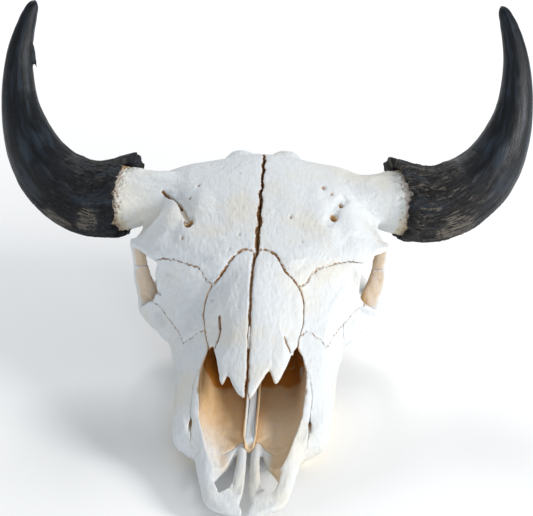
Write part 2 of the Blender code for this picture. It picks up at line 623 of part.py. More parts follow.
def openings(work):
    """Fissures, gaps and canals cut after the bone is thinned."""
    cutters = []
    for s in (-1, 1):
        cutters.append(column("palatine_fissure", fissure_outline(s), 5, 60, work))
        cutters.append(column("nasal_notch", notch_outline(s), 78, 130, work))
        for x, d, z, half, long in BROW_HOLES[s]:
            steps = [(s * (x - back), d + lean, z - down, half - less, long - 2.2 * less)
                     for back, lean, down, less in BROW_CANAL]
            cutters.append(bar("brow_canal", steps, 5, 12, work))
        if s < 0:
            groove = [(s * x, d, z - 3, half, 4) for x, d, z, half in BROW_GROOVE]
            cutters.append(bar("brow_groove", groove, 12, 6, work))
        cutters.append(bar("cheek_canal", mirrored(s, CHEEK_CANAL), 5, 8, work))
        cutters.append(bar("ear_canal", ((s * 104, 414, 92, 6, 6), (s * 84, 411, 86, 5, 5),
                                         (s * 70, 408, 82, 4, 4)), 5, 10, work))
        cutters.append(bar("optic_canal", ((s * 66, 318, 118, 8, 9), (s * 48, 324, 112, 6, 7),
                                           (s * 36, 332, 108, 5, 5)), 5, 10, work))
    for notch in RIM_NOTCHES:
        cutters.append(bar("rim_notch", notch, 4, 8, work))
    cutters.append(column("front_gap", ((-3.5, -4), (3.5, -4), (3.5, 6), (7.5, 14), (4, 27), (2.6, 45),
                                        (2.6, 106), (-2.6, 106), (-2.6, 45), (-4, 27), (-7.5, 14),
                                        (-3.5, 6)), 5, 60, work))
    cutters.append(bar("brain_canal", ((0, 476, FORAMEN_Z + 2, FORAMEN_R + 3, FORAMEN_R + 1),
                                       (0, 448, FORAMEN_Z, FORAMEN_R, FORAMEN_R),
                                       (0, 425, FORAMEN_Z + 6, FORAMEN_R + 3, FORAMEN_R + 3),
                                       (0, 395, FORAMEN_Z + 22, 18, 16)), 8, 18, work))
    cutters.append(bar("choana", ((0, 262, 66, 24, 12), (0, 285, 62, 22, 16), (0, 318, 54, 18, 16),
                                  (0, 345, 40, 16, 12)), 8, 14, work))
    cutters.append(column("below_floor", ((-320, -40), (320, -40), (320, 560), (-320, 560)), -40, 0, work))
    return cutters


# Sutures: thin sheets that part the bones

def nasal_suture(s):
    """Plan of the suture round a nasal bone, from the midline back to its free side."""
    plan = ((-1, 262), (9, 266), (20, 262), (30, 252), (38, 246), (46, 243), (52, 236), (53.5, 222),
            (52, 206), (49, 192), (46.8, 180), (44, 170), (46, 158))
    return [(s * x + NOSE_SHIFT, d) for x, d in plan]


def premaxilla_suture(s):
    """Edges of the suture under the rising limb of a premaxilla, and the line along its side."""
    inner = [(s * 28, d, z) for d, z in PREMAXILLA_LIMB]
    outer = [(s * 69, d, z) for d, z in PREMAXILLA_LIMB]
    side = ((s * 60, 84), (s * 61, 100), (s * 62.5, 118), (s * 62.5, 142), (s * 57.5, 158), (s * 45, 174))
    foot = [(x, d, key(PREMAXILLA_LIMB, d) - 2.5) for x, d in side]
    return inner, outer, side, foot


def lifted(plan, z):
    return [(x, d, z) for x, d in plan]


def sutures(work):
    sheets = []

    def add(name, a, b, **kw):
        sheets.append(ribbon(name, a, b, work, **kw))

    # Median sutures: forehead, nasals, palate
    add("mid_brow", [(0, 256, 200), (1, 330, 232), (2, 400, 240), (0, 454, 235)],
        [(0, 256, 124), (1, 330, 132), (2, 400, 142), (0, 440, 148)], wave=1.3, pitch=24, step=9, seed=1)
    add("open_brow", [(0, 258, 200), (1, 330, 232), (2, 400, 240), (0, 444, 235)],
        [(0, 258, 173), (1, 330, 199), (2, 400, 212), (0, 440, 204)], width=(4.4, 1.2), wave=1.3, pitch=24,
        step=9, seed=1)
    line = ((-3.5, 96), (-4, 130), (-5, 165), (-5.2, 200), (-5, 235), (-2, 268))
    add("mid_nose", lifted(line, 200), lifted(line, 60))
    add("open_nose", lifted(line, 200), [(x, d, key(ROOF_Z, d) - NOSE_GROOVE) for x, d in line],
        width=(3.2, 4.0), wave=0.8, pitch=30, step=12, seed=2)
    add("mid_palate", [(0, 90, 5), (0, 306, 5)], [(0, 90, 99), (0, 306, 99)])
    # Frontal bones from what lies below and behind them
    front = [(s * x, d) for s, keys in ((-1, SHELF_FRONT[::-1]), (1, SHELF_FRONT[1:])) for x, d in keys]
    add("under_brow", lifted(front, 132), [(max(-116, min(116, x * 1.38)), 450, 152) for x, d in front])
    rear = ((-180, 474), (-128, 452), (-92, 438), (-45, 436), (0, 436), (45, 436), (92, 438), (128, 452),
            (180, 474))
    add("behind_brow", [(x, d + NAPE_LEAN, 250) for x, d in rear], lifted(rear, 146), wave=1.0, pitch=30,
        step=12, seed=4)
    rear = ((-130, 452), (-80, 449), (0, 449), (80, 449), (130, 452))
    add("behind_parietal", [(x, d + NAPE_LEAN, 250) for x, d in rear], lifted(rear, 150))
    for s in (-1, 1):
        plan = nasal_suture(s)
        add("round_nasal", lifted(plan, 205), lifted(plan, 92), width=(2.6, 0.5), wave=0.7, pitch=22,
            step=8, seed=6)
        # Lacrimal from frontal, maxilla and cheek bone
        add("frontal_lacrimal", [(s * x, d, z) for x, d, z in LACRIMAL_TOP],
            [(s * x, d, z) for x, d, z in LACRIMAL_FOOT], width=0.6, wave=0.5, pitch=26, step=8, seed=7)
        plan = [(s * x, d) for x, d in LACRIMAL_EDGE]
        add("lacrimal_maxilla", lifted(plan, 170), lifted(plan, 86), wave=1.8, pitch=18, step=7, seed=8)
        add("under_lacrimal", [(x, d - 4, 90 + abs(x) * 0.06) for x, d in plan] + [(s * 130, 264, 101)],
            [(s * 40, 308, 107)] + [(x, 308, 107) for x, d in plan[1:]] + [(s * 130, 308, 107)])
        plan = ((s * 110, 222), (s * 97, 236), (s * 94, 247), (s * 94, 262), (s * 96, 282), (s * 102, 312))
        add("cheek_suture", lifted(plan, 110), lifted(plan, 30), wave=0.9, pitch=22, step=10, seed=9)
        # Cheek bone from frontal on the bar, and from temporal on the arch
        add("bar_suture", [(s * 112, 300, 131), (s * 112, 350, 127)], [(s * 156, 300, 131), (s * 156, 350,
                                                                                             127)])
        add("arch_suture", [(s * 112, 338, 108), (s * 112, 366, 58)], [(s * 156, 338, 108), (s * 156, 366,
                                                                                             58)])
        # Temporal from the skull's base and back
        add("temporal_base", [(s * 46, 336, 165), (s * 46, 436, 165)], [(s * 46, 336, 20), (s * 46, 436, 20)])
        add("temporal_front", [(s * 44, 344, 168), (s * 90, 344, 168)],
            [(s * 44, 344, 30), (s * 90, 344, 30)])
        add("temporal_back", [(s * 44, 418, 168), (s * 130, 418, 168)], [(s * 44, 418, 20), (s * 130, 418,
                                                                                             20)])
        add("palatine_side", [(s * 43, 232, 8), (s * 43, 310, 8)], [(s * 43, 232, 116), (s * 43, 310, 116)])
        # Premaxilla: across its root, under its rising limb and along the limb's side
        root = ((s * -2, 108), (s * 11, 107), (s * 18, 98), (s * 26, 92), (s * 68, 90))
        add("premaxilla_root", lifted(root, 5), lifted(root, 40))
        inner, outer, side, foot = premaxilla_suture(s)
        add("premaxilla_under", inner, outer)
        add("premaxilla_side", lifted(side, 130), foot, wave=0.5, pitch=30, step=12, seed=17)
    # Base of the skull, from front to back
    add("palatine_front", [(-44.5, 234, 8), (44.5, 234, 8)], [(-44.5, 234, 62), (44.5, 234, 62)])
    add("before_sphenoid", [(-64, 304, 20), (64, 304, 20)], [(-64, 304, 110), (64, 304, 110)])
    add("over_palatine", [(-44.5, 228, 97), (-44.5, 308, 97)], [(44.5, 228, 97), (44.5, 308, 97)])
    add("base_suture", [(-48, 404, 20), (48, 404, 20)], [(-48, 404, 164), (48, 404, 164)])
    return sheets


# Names of the bones by a point inside each: x is for the +x side

SEEDS_PAIRED = {
    "premaxilla": (44, 60, 30),
    "nasal": (22, 215, 144),
    "maxilla": (74, 170, 40),
    "lacrimal": (84, 250, 122),
    "zygomatic": (124, 300, 86),
    "frontal": (80, 370, 200),
    "temporal": (70, 395, 88),
    "palatine": (38, 262, 42),
}
SEEDS_SINGLE = {
    "sphenoid": (0, 350, 100),
    "parietal": (0, 448, 194),
    "occipital": (60, 440, 110),
}


def horn_point(s, row, angle, radius, push=0.0):
    """Point of a ring about the horn's axis; row is (x, height, radius, tangent x, tangent height)."""
    x, height, tx, th = row
    out_x, out_h = th, -tx
    front = math.sin(angle)
    side = math.cos(angle)
    px = x + out_x * side * radius + tx * push
    ph = height + out_h * side * radius + th * push
    back = -front * radius
    d = HORN_ORIGIN_D + ph * math.sin(HORN_LEAN) + back * math.cos(HORN_LEAN)
    z = HORN_ORIGIN_Z + ph * math.cos(HORN_LEAN) - back * math.sin(HORN_LEAN)
    spread = HORN_EXTRA[s] * min(1.0, max(0.0, (x - 200) / 70))
    return at(s * (px + spread), d, z)


def horn_rows(first, last, count):
    """Axis points with their tangents and radii between two shares of the horn's length."""
    rows = path([(x, h, 0.0, r) for x, h, r in HORN], 240)
    out = []
    for i in range(count):
        u = (first + (last - first) * i / (count - 1)) * 239
        k = int(min(u, 238))
        row = rows[k] + (rows[k + 1] - rows[k]) * (u - k)
        before, after = rows[max(k - 3, 0)], rows[min(k + 4, 239)]
        tx, th = after[0] - before[0], after[1] - before[1]
        n = math.hypot(tx, th)
        out.append((row[0], row[1], tx / n, th / n, row[3]))
    return out


def horn_rings(s, rows, inset, slant):
    """Rings about the axis; slant pushes the lower front of the first ones along the horn, under a flake."""
    rings = []
    for i, (x, h, tx, th, r) in enumerate(rows):
        fade = max(0.0, 1.0 - i / SLANTED_ROWS)
        radius = max(r - inset, 0.4)
        ring = []
        for k in range(HORN_SIDES):
            a = math.tau * k / HORN_SIDES
            rough = 1.0 + HORN_ROUGH * noise(Vector((3 * math.cos(a), 3 * math.sin(a), i * 0.45 + s * 5)))
            push = slant * fade * r * math.cos(a - SHEATH_TURN)
            if slant:
                flake = fade ** 3 * math.exp(-((a - FLAKE_ANGLE) / FLAKE_WIDTH) ** 2)
                push -= FLAKE_REACH * flake
                rough += FLAKE_LIFT * flake / radius
            ring.append(horn_point(s, (x, h, tx, th), a, radius * (rough if slant else 1.0), push))
        rings.append(ring)
    return rings


def core_rows():
    """Axis points that the bore of a sheath and the bone in it share."""
    return horn_rows(SHEATH_START - BORE_LEAD, CORE_END, CORE_ROWS)


def horn_sheath(name, s, collection, work):
    rows = horn_rows(SHEATH_START, 1.0, SHEATH_ROWS)
    sheath = loft(name, horn_rings(s, rows, 0, SHEATH_SLANT), collection)
    bore = loft("bore", horn_rings(s, core_rows(), SHEATH_WALL, 0), work)
    return boolean(sheath, bore, solver="MANIFOLD")


def horn_core(s, work):
    """Bone that fills the sheath; its first rings lie inside the pedicle."""
    rows = core_rows()
    rows[:2] = [(x, h, tx, th, r - spare) for (x, h, tx, th, r), spare in zip(rows, CORE_SPARE)]
    return loft("core", horn_rings(s, rows, SHEATH_WALL + CORE_CLEAR, 0)[:-1], work)


def sheath_seat(s, work):
    """Sleeve that the bone leaves free round a sheath's base, a little wider than the sheath."""
    rows = horn_rows(SHEATH_START - SEAT_LEAD, SEAT_END, CORE_ROWS)
    sleeve = loft("sheath_seat", horn_rings(s, rows, -SEAT_ROOM, SHEATH_SLANT), work)
    bone = loft("seat_bone", horn_rings(s, core_rows(), SHEATH_WALL + CORE_CLEAR, 0), work)
    return boolean(sleeve, bone, solver="MANIFOLD")


def tooth(s, d, length, width, work):
    """Two-lobed cheek tooth with its root in the jaw and its grinding face on the floor."""
    x = key(TOOTH_ROW, d)
    slope = (key(TOOTH_ROW, d + 5) - key(TOOTH_ROW, d - 5)) / 10
    lobes = 1 if length < 20 else 2
    rings = []
    for z, grow in ((-2.0, 0.94), (5.0, 1.0), (22.0, 0.95), (TOOTH_ROOT_Z, 0.8)):
        ring = []
        for k in range(TOOTH_SIDES):
            a = math.tau * k / TOOTH_SIDES
            c = math.copysign(abs(math.cos(a)) ** 0.6, math.cos(a))
            n = math.copysign(abs(math.sin(a)) ** 0.6, math.sin(a))
            pinch = 1.0 - (0.13 * abs(math.sin(a)) ** 6 if lobes == 2 else 0.0)
            dd = c * (length / 2 - 0.25) * grow
            xx = n * width / 2 * grow * pinch
            ring.append(at(s * (x + xx + slope * dd), d + dd, z))
        rings.append(ring)
    return loft("tooth", rings, work)


def vomer_half(d, grow):
    """U-shaped section of the trough on the floor of the nasal cavity."""
    low = key(((96, 28), (120, 37), (150, 42.5), (200, 46), (250, 50), (268, 53)), d)
    half = key(((96, 4.5), (104, 7.5), (150, 7.5), (200, 7), (268, 5)), d)
    high = key(((96, 35), (104, 44), (150, 58), (200, 74), (250, 96), (268, 100)), d)
    wall = 2.0
    outer = [(-half - grow, high), (-half * 0.85 - grow, (low + high) / 2), (-half * 0.55 - grow, low - grow)]
    outer += [(-x, z) for x, z in reversed(outer)]
    inner = [(half - wall, high), (half * 0.8 - wall, (low + high) / 2), (half * 0.45 - wall * 0.6, low + 4)]
    inner += [(-x, z) for x, z in reversed(inner)]
    return outer + inner


def vomer(name, collection, grow=0.0):
    rings = []
    for d in np.linspace(97 - grow, 266 + grow, 16):
        rings.append([at(x, d, z) for x, z in vomer_half(d, grow)])
    return loft(name, rings, collection)


def surface(name, colour, roughness):
    material = bpy.data.materials.new(name)
    material.use_nodes = True
    shader = material.node_tree.nodes["Principled BSDF"]
    shader.inputs["Base Color"].default_value = (*colour, 1.0)
    shader.inputs["Roughness"].default_value = roughness
    shader.inputs["Metallic"].default_value = 0.0
    return material


def clear_scene():
    for obj in list(bpy.data.objects):
        bpy.data.objects.remove(obj)
    for mesh in list(bpy.data.meshes):
        bpy.data.meshes.remove(mesh)


def nearest(seed, parts):
    """Index of the part whose surface lies nearest to a point."""
    point = at(*seed)
    best = min(range(len(parts)), key=lambda i: min((v.co - point).length for v in parts[i].data.vertices))
    return best


def main():
    clear_scene()
    skull = bpy.data.collections.new("bison_skull")
    work = bpy.data.collections.new("cutters")
    bpy.context.scene.collection.children.link(skull)
    bpy.context.scene.collection.children.link(work)

    whole = mass(work)
    whole = joined("skull_bone", [whole] + trimmings(work), work)
    fused(whole, FINE_VOXEL, FINE_SMOOTHING)
    thinned(largest(whole), BONE_TRIANGLES)
    for cutter in openings(work):
        boolean(whole, cutter, solver="MANIFOLD")
    boolean(whole, vomer("vomer_seat", work, grow=GAP), solver="MANIFOLD")
    for sheet in sutures(work):
        boolean(whole, sheet, solver="MANIFOLD")

    pieces = [part_object("piece", whole, part, skull) for part in loose_parts(whole) if len(part) > 30]
    drop(whole)
    named = {}
    for bone, seed in SEEDS_SINGLE.items():
        named[bone] = pieces[nearest(seed, pieces)]
    for bone, (x, d, z) in SEEDS_PAIRED.items():
        for side, s in (("left", 1), ("right", -1)):
            named[f"{bone}_{side}"] = pieces[nearest((s * x, d, z), pieces)]
    for piece in pieces:
        if piece not in named.values():
            drop(piece)
    for bone, obj in named.items():
        obj.name = bone
        obj.data.name = bone
        thinned(obj, PIECE_SHARE * triangle_count(obj))

    for side, s in (("left", 1), ("right", -1)):
        boolean(named[f"frontal_{side}"], sheath_seat(s, work), solver="MANIFOLD")
        boolean(named[f"frontal_{side}"], horn_core(s, work), operation="UNION", solver="MANIFOLD")
        d = 118.0
        for length, width in TEETH:
            boolean(named[f"maxilla_{side}"], tooth(s, d + length / 2, length, width, work),
                    operation="UNION", solver="MANIFOLD")
            d += length
        named[f"horn_sheath_{side}"] = horn_sheath(f"horn_sheath_{side}", s, skull, work)
    under = column("under", ((-320, -40), (320, -40), (320, 560), (-320, 560)), -40, 0, work)
    for side in ("left", "right"):
        boolean(named[f"maxilla_{side}"], under, solver="MANIFOLD", keep=True)
    drop(under)
    named["vomer"] = vomer("vomer", skull)

    bone = surface("weathered_bone", (0.66, 0.67, 0.66), 0.62)
    cavity = surface("stained_bone", (0.36, 0.25, 0.14), 0.75)
    horn = surface("black_horn", (0.018, 0.02, 0.024), 0.38)
    for name, obj in named.items():
        largest(obj)
        material = horn if name.startswith("horn") else cavity if name == "vomer" else bone
        obj.data.materials.clear()
        obj.data.materials.append(material)
        for polygon in obj.data.polygons:
            polygon.use_smooth = True
        obj.data.set_sharp_from_angle(angle=math.radians(40))


main()
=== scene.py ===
import math

import bpy
import numpy as np
from bpy.props import FloatProperty, FloatVectorProperty, IntProperty, PointerProperty
from bpy.types import Operator, Panel, PropertyGroup
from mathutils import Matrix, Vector
from mathutils.bvhtree import BVHTree


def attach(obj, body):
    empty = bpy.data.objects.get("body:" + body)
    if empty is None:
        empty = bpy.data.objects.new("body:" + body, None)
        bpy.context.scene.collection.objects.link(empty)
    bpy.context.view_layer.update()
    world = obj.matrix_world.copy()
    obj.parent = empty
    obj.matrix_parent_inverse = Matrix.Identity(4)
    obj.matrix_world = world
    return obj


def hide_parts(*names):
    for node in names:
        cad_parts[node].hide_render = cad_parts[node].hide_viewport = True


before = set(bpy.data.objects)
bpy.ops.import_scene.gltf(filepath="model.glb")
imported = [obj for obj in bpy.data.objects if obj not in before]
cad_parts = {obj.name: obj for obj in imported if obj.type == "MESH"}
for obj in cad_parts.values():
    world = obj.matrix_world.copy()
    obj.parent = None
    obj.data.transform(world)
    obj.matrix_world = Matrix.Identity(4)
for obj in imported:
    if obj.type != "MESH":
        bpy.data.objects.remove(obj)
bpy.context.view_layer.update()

bl_info = {
    "name": "Bison skull",
    "version": (1, 0, 0),
    "blender": (4, 5, 0),
    "location": "3D View > Sidebar > Skull",
    "description": "Dresses the solids of a bison skull as dry bone and weathered horn",
    "category": "Object",
}

SIDES = ("left", "right")
PAIRED_BONES = ("premaxilla", "nasal", "maxilla", "lacrimal", "zygomatic", "frontal", "temporal", "palatine")
SINGLE_BONES = ("sphenoid", "parietal", "occipital")
BONES = tuple(bone + "_" + side for bone in PAIRED_BONES for side in SIDES) + SINGLE_BONES
HORNS = tuple("horn_sheath_" + side for side in SIDES)

# The skull's own measures start at the muzzle's tips and its middle plane, in mm
MIDDLE_X = 3.5
MIDDLE_D = 252.5

# Numbers painted on the points of the bones and of the horns for their materials
PAINTED = ("closed", "suture", "stain_and_shade", "cream", "tooth")
HORN_PAINTED = ("flake", "crack", "scaly", "worn")

# Rounds of smoothing of the fine surfaces, and how far their relief may go in and out, in metres
BONE_ROUNDS = 2
BONE_RELIEF = (-0.0044, 0.0034)
HORN_ROUNDS = 4
HORN_RELIEF = (-0.0024, 0.0021)

# A corner is rounded where its facets lean less than the first angle, and stays sharp from the second
ROUND_LEAN = math.radians(34)
SHARP_LEAN = math.radians(52)

# How far a bone looks for its neighbours and for the horn's rim, in metres
SEAM_REACH = 0.012
RIM_REACH = 0.02

# Rays that find what shuts a point in, for the painted shade of hollows: their number, spread, start over
# the surface and length in metres
SHADE_RAYS = 12
SHADE_SPREAD = 0.92
SHADE_START = 0.0015
SHADE_REACH = 0.09

# Patterns of the bone: size in mm and layers of detail, its streaks' width in mm and stretch, and the pitch
# of its pores in mm. Grain and pores are finer in life, and drawn as coarse as they need to be to show
BONE_PATTERNS = {
    "cloud": (60, 2.0), "patch": (14, 2.0), "blotch": (9, 4.0), "lips": (3.5, 3.0), "grain": (1.3, 4.0),
}
STREAK_WIDTH = 2.2
STREAK_STRETCH = (1.0, 0.15, 0.6)
PORE_PITCH = 2.4

# Patterns of the horn: size round and along it in mm, and layers of detail. Its lines are finer in life too
HORN_PATTERNS = {
    "line": (0.9, 22, 4.0), "cloud": (11, 42, 5.0), "scale": (1.3, 9.0, 7.0), "chip": (5.0, 16.0, 8.0),
}

# Radius in mm that the horn's patterns are wound on, so that they don't shrink towards its tip
WINDING = 40

# Horn axis: (x from the middle plane, height in the horn's leaning plane, radius), in mm
HORN_AXIS = ((128, 3, 43), (152, 1, 43.5), (170, -1, 43), (190, -1, 42.5), (211, 5, 41.5), (238, 22, 37.5),
             (258, 47, 32.5), (272, 79, 26), (279, 108, 20.8), (281, 140, 17), (279.5, 165, 14.2),
             (275, 188, 11.6), (269, 208, 8.6), (265, 218, 5.4), (263, 223, 1.6))
AXIS_POINTS = 160
HORN_D = 395.0
HORN_Z = 176.0
HORN_LEAN = math.radians(28)

# Small vessel holes of the forehead and nose: (x, d, radius, depth), in mm
VESSEL_HOLES = (
    (-77, 308, 5.6, 4.2), (82, 323, 4.0, 1.6), (90, 346, 3.6, 1.4),
    (-69, 361, 2.6, 1.6), (-78, 344, 2.0, 1.6), (-83, 288, 1.9, 1.6), (-20.4, 283.5, 2.0, 1.2),
    (-30.8, 266.5, 1.8, 1.0), (34.8, 308.7, 2.2, 1.6), (47.8, 279.2, 1.8, 1.2), (70, 362, 3.4, 1.8),
    (79, 354, 2.6, 1.6), (-24, 376, 1.6, 0.9), (-47.4, 226.6, 1.8, 1.2), (60, 300, 1.4, 0.9),
    (-55, 312, 1.3, 0.8), (18, 338, 1.2, 0.8), (-44, 392, 1.6, 0.9), (96, 384, 1.8, 1.0),
)

# How clearly each seam between two kinds of bone shows: width of its brown line and wear of its lips
SEAMS = {
    frozenset(("frontal",)): 1.0, frozenset(("nasal",)): 1.0, frozenset(("frontal", "nasal")): 0.7,
    frozenset(("maxilla", "nasal")): 0.35, frozenset(("lacrimal", "nasal")): 0.15,
    frozenset(("frontal", "lacrimal")): 0.45, frozenset(("lacrimal", "maxilla")): 0.42,
    frozenset(("lacrimal", "zygomatic")): 0.45, frozenset(("maxilla", "zygomatic")): 0.25,
}
FAINT_SEAM = 0.1

# Seams as clear as this stand open, and show as a broad band
OPEN_SEAM = (0.85, 0.97)

# Rough bone on the nape's ridges and on the cheek and gum, between these places in mm, with the width of its
# lumps in mm and their height in metres
NAPE_D = (425, 445)
NAPE_Z = (150, 175)
GUM_X = (60, 78)
GUM_D = (90, 120)
GUM_Z = (60, 30)
ROUGH_SIZE = 7
ROUGH_HEIGHT = 0.0006

# Width of a suture's worn lips, and what an open seam adds to it, in metres
LIP_WIDTH = 0.0017
LIP_MORE = 0.0009

# Cracks and grooves in plan: points (x, d) with half width and depth, in mm
CRACKS = (
    (((-38.9, 204), (-37, 190), (-38.5, 182), (-41.5, 175), (-44.7, 169)), 0.9, 2.4),
    (((32.5, 180), (34.5, 174), (38.8, 168)), 0.8, 2.0),
    (((-110, 368), (-104, 364), (-99, 358), (-93, 349), (-87, 338)), 1.3, 3.0),
)

# Where the horn is rubbed light: side, run past the rim, angle about the axis, half length, half angle
WORN_PLACES = (
    (-1, 292, 0.0, 26, 0.9), (-1, 66, -0.4, 16, 0.35), (-1, 34, -0.9, 12, 0.4), (1, 52, -0.6, 18, 0.5),
)

# Soft relief of the forehead on each side: height in mm, place in plan, half sizes and turn
BROW_SWELLS = (
    (2.6, (107, 330), (17, 36), 0.35), (1.4, (68, 334), (11, 30), 0.3), (-2.6, (86, 316), (8, 30), 0.35),
    (-1.4, (46, 298), (22, 26), 0.0), (1.2, (30, 352), (26, 34), 0.0), (-1.2, (62, 392), (30, 22), 0.0),
    (-0.8, (14, 300), (14, 40), 0.0), (1.0, (100, 386), (20, 16), 0.0),
)

# Hollow round the eye: middle, half sizes, and a point in front of it that its walls face, in mm
ORBIT = (104.0, 316.0, 130.0)
ORBIT_HALF = (45.0, 34.0, 36.0)
ORBIT_FRONT = (84.0, 270.0, 124.0)

# Hollow of the nose: its middle, half width, back end and floor, and how far from the middle the stain of
# the premaxillae starts, in mm
NOSE_X = -3
NOSE_HALF = 62
NOSE_BACK = 285
NOSE_FLOOR = 18
STAIN_START = (17, 25)

# Stain of the nose, in mm: depths between which it turns tan and then rust brown, and the place and half
# sizes in plan of a cleaner patch
NOSE_TAN = (25, 80)
NOSE_RUST = (192, 203)
NOSE_CLEAN = ((-46, 82), (22, 40))

# Creamy bone near the horn cores, between these places in mm
PEDICLE_X = (100, 150)
PEDICLE_D = (345, 375)
PEDICLE_Z = (140, 160)

# Burr, the porous bone under the sheath's rim: distances from the rim between which it fades out in metres,
# spacing of its holes in mm, height of its lumps and depth of its holes in metres
BURR_FADE = (0.013, 0.006)
BURR_PITCH = 3.1
BURR_HEIGHT = 0.0013
BURR_BORE = 0.0019

# Cheek teeth: where their enamel starts in height and along the skull, in mm, and ribs in radians to the mm
TOOTH_TOP = (27, 22)
TOOTH_FRONT = (108, 114)
TOOTH_RIBS = 0.41

# Height of the muzzle's tips over the floor, in metres
MUZZLE_RISE = 0.0155

# The vomer's gutter, in mm: places along the skull and the height of its lips there, its middle, the half
# width of its inside, and how far its bottom lies under the lips
VOMER_D = (96, 104, 150, 200, 250, 268)
VOMER_LIPS = (35, 44, 58, 74, 96, 100)
VOMER_X = -2.0
GUTTER_HALF = (6.2, 5.0)
GUTTER_DEPTH = 2.6

# Studio: colour and strength of the sky, corners of the floor, how far it lies below the teeth, and the
# width in mm of the clouds in its paint
SKY = (0.91, 0.955, 1.0, 1.0)
SKY_STRENGTH = 0.43
FLOOR_CORNERS = ((-6, -6, 0), (6, -6, 0), (6, 8, 0), (-6, 8, 0))
FLOOR_DEPTH = 0.0004
FLOOR_CLOUD = 1000 / 3

# Lamps: name, place, width, power in watts, colour and the point that each faces. The back one whitens the
# floor behind the skull
LAMPS = (
    ("key", (2.6, -0.9, 1.35), 0.9, 72, (1.0, 0.985, 0.955), (0, 0, 0.15)),
    ("fill", (0.5, -2.6, 1.3), 1.0, 16, (0.92, 0.96, 1.0), (0, 0, 0.15)),
    ("side", (-2.4, -1.2, 0.6), 1.0, 8, (0.9, 0.95, 1.0), (0, 0, 0.15)),
    ("back", (-0.5, 3.0, 2.2), 1.4, 60, (1.0, 1.0, 1.0), (-0.5, 1.5, 0.0)),
)

# Camera: the point that it looks at, its angles right of the middle plane and above the floor, and its frame
CAMERA_AIM = (0.0066, 0.0045, 0.1752)
CAMERA_TURN = math.radians(2)
CAMERA_RISE = math.radians(28)
SENSOR_WIDTH = 36


def linear(code):
    """sRGB hex colour as linear RGB."""
    out = []
    for k in (1, 3, 5):
        c = int(code[k:k + 2], 16) / 255
        out.append(c / 12.92 if c <= 0.04045 else ((c + 0.055) / 1.055) ** 2.4)
    return tuple(out)


def colour(name, code, text):
    return FloatVectorProperty(name=name, description=text, subtype="COLOR", size=3, min=0.0, max=1.0,
                               default=linear(code))


def metres(name, text, default, low, high):
    return FloatProperty(name=name, description=text, default=default, min=low, max=high, unit="LENGTH",
                         precision=5)


class SkullSizes(PropertyGroup):
    voxel: metres("Surface step", "Distance between points of the dressed surfaces", 0.00125, 0.0008, 0.006)
    splits: IntProperty(name="Splits", description="Parts that each edge of a solid is split in",
                        default=5, min=1, max=8)
    bulge: FloatProperty(name="Roundness", description="How far the facets of a solid swell",
                         default=0.8, min=0.0, max=1.0, subtype="FACTOR")
    grain: metres("Bone grain", "Height of the grain of the bone", 0.00028, 0.0, 0.001)
    crumble: metres("Suture wear", "Depth of the wear along the sutures", 0.0009, 0.0, 0.002)
    flake: metres("Horn flakes", "Thickness of the layers that peel off the horn's base", 0.0016, 0.0, 0.003)
    lens: metres("Lens", "Focal length of the camera", 0.1504, 0.02, 0.4)
    distance: metres("Camera distance", "From the camera to the middle of the skull", 2.4, 0.5, 10.0)


class SkullColours(PropertyGroup):
    bone: colour("Bone", "#D6DADD", "Bleached bone of the forehead and nose")
    bone_warm: colour("Warm bone", "#D8D6CF", "Bone that kept a little of its fat")
    bone_cream: colour("Pedicle", "#CCC5B0", "Bone near the horn cores")
    # The tan, brown, suture and dark colours are the bone's stains, and they also paint shade where bone
    # closes a point in, in holes and cracks, and by the horn's rim
    tan: colour("Tan stain", "#D9B27C", "Inner walls that the weather hardly reached")
    brown: colour("Brown stain", "#BE7716", "Depth of the nose")
    suture: colour("Suture", "#946838", "Lips of the sutures, and holes")
    umber: colour("Dark stain", "#55300F", "Bottom of holes and sutures")
    enamel: colour("Tooth", "#E3D9C0", "Enamel and cement of the cheek teeth")
    horn: colour("Horn", "#0C0F13", "Sound horn sheath")
    horn_grey: colour("Grey horn", "#29313B", "Rubbed horn sheath")
    horn_flake: colour("Flaked horn", "#312D2A", "Dull layers that scale off at the horn's base")
    horn_worn: colour("Worn horn", "#8A8277", "Where the horn is rubbed through to lighter layers")
    floor: colour("Floor", "#FCFCFC", "Studio floor")


# Noise over many points at once

GRADIENTS = np.random.default_rng(11).normal(size=(256, 3))
GRADIENTS /= np.linalg.norm(GRADIENTS, axis=1)[:, None]
SHUFFLE = np.random.default_rng(12).permutation(256)


def hashed(cell, seed):
    h = SHUFFLE[(cell[:, 0] + seed * 37) & 255]
    h = SHUFFLE[(h + cell[:, 1]) & 255]
    return SHUFFLE[(h + cell[:, 2]) & 255]


def waves(p, seed):
    """Smooth noise from about -1 to 1 at each row of p."""
    cell = np.floor(p).astype(np.int64)
    f = p - cell
    w = f * f * f * (f * (f * 6 - 15) + 10)
    total = np.zeros(len(p))
    for corner in np.ndindex(2, 2, 2):
        c = np.array(corner)
        dot = (GRADIENTS[hashed(cell + c, seed)] * (f - c)).sum(axis=1)
        total += dot * np.where(c, w, 1 - w).prod(axis=1)
    return total * 1.7


def layered(p, octaves, seed):
    """Sum of noises, each twice as fine and half as high as the one before."""
    total = np.zeros(len(p))
    for k in range(octaves):
        total += waves(p * 2 ** k, seed + k) / 2 ** k
    return total / (2 - 2 ** (1 - octaves))


def pores(p, seed):
    """Distance from each row of p to the nearest point of those strewn one to a cell."""
    cell = np.floor(p).astype(np.int64)
    nearest = np.full(len(p), 9.0)
    for corner in np.ndindex(3, 3, 3):
        c = cell + np.array(corner) - 1
        h = hashed(c, seed)
        away = ((p - c - 0.5 - 0.42 * GRADIENTS[h]) ** 2).sum(axis=1)
        nearest = np.minimum(nearest, away)
    return np.sqrt(nearest)


def ramp(low, high, value):
    """0 on the side of low, 1 on the side of high, smooth between."""
    t = np.clip((value - low) / (high - low), 0.0, 1.0)
    return t * t * (3 - 2 * t)


# Surfaces from the solids

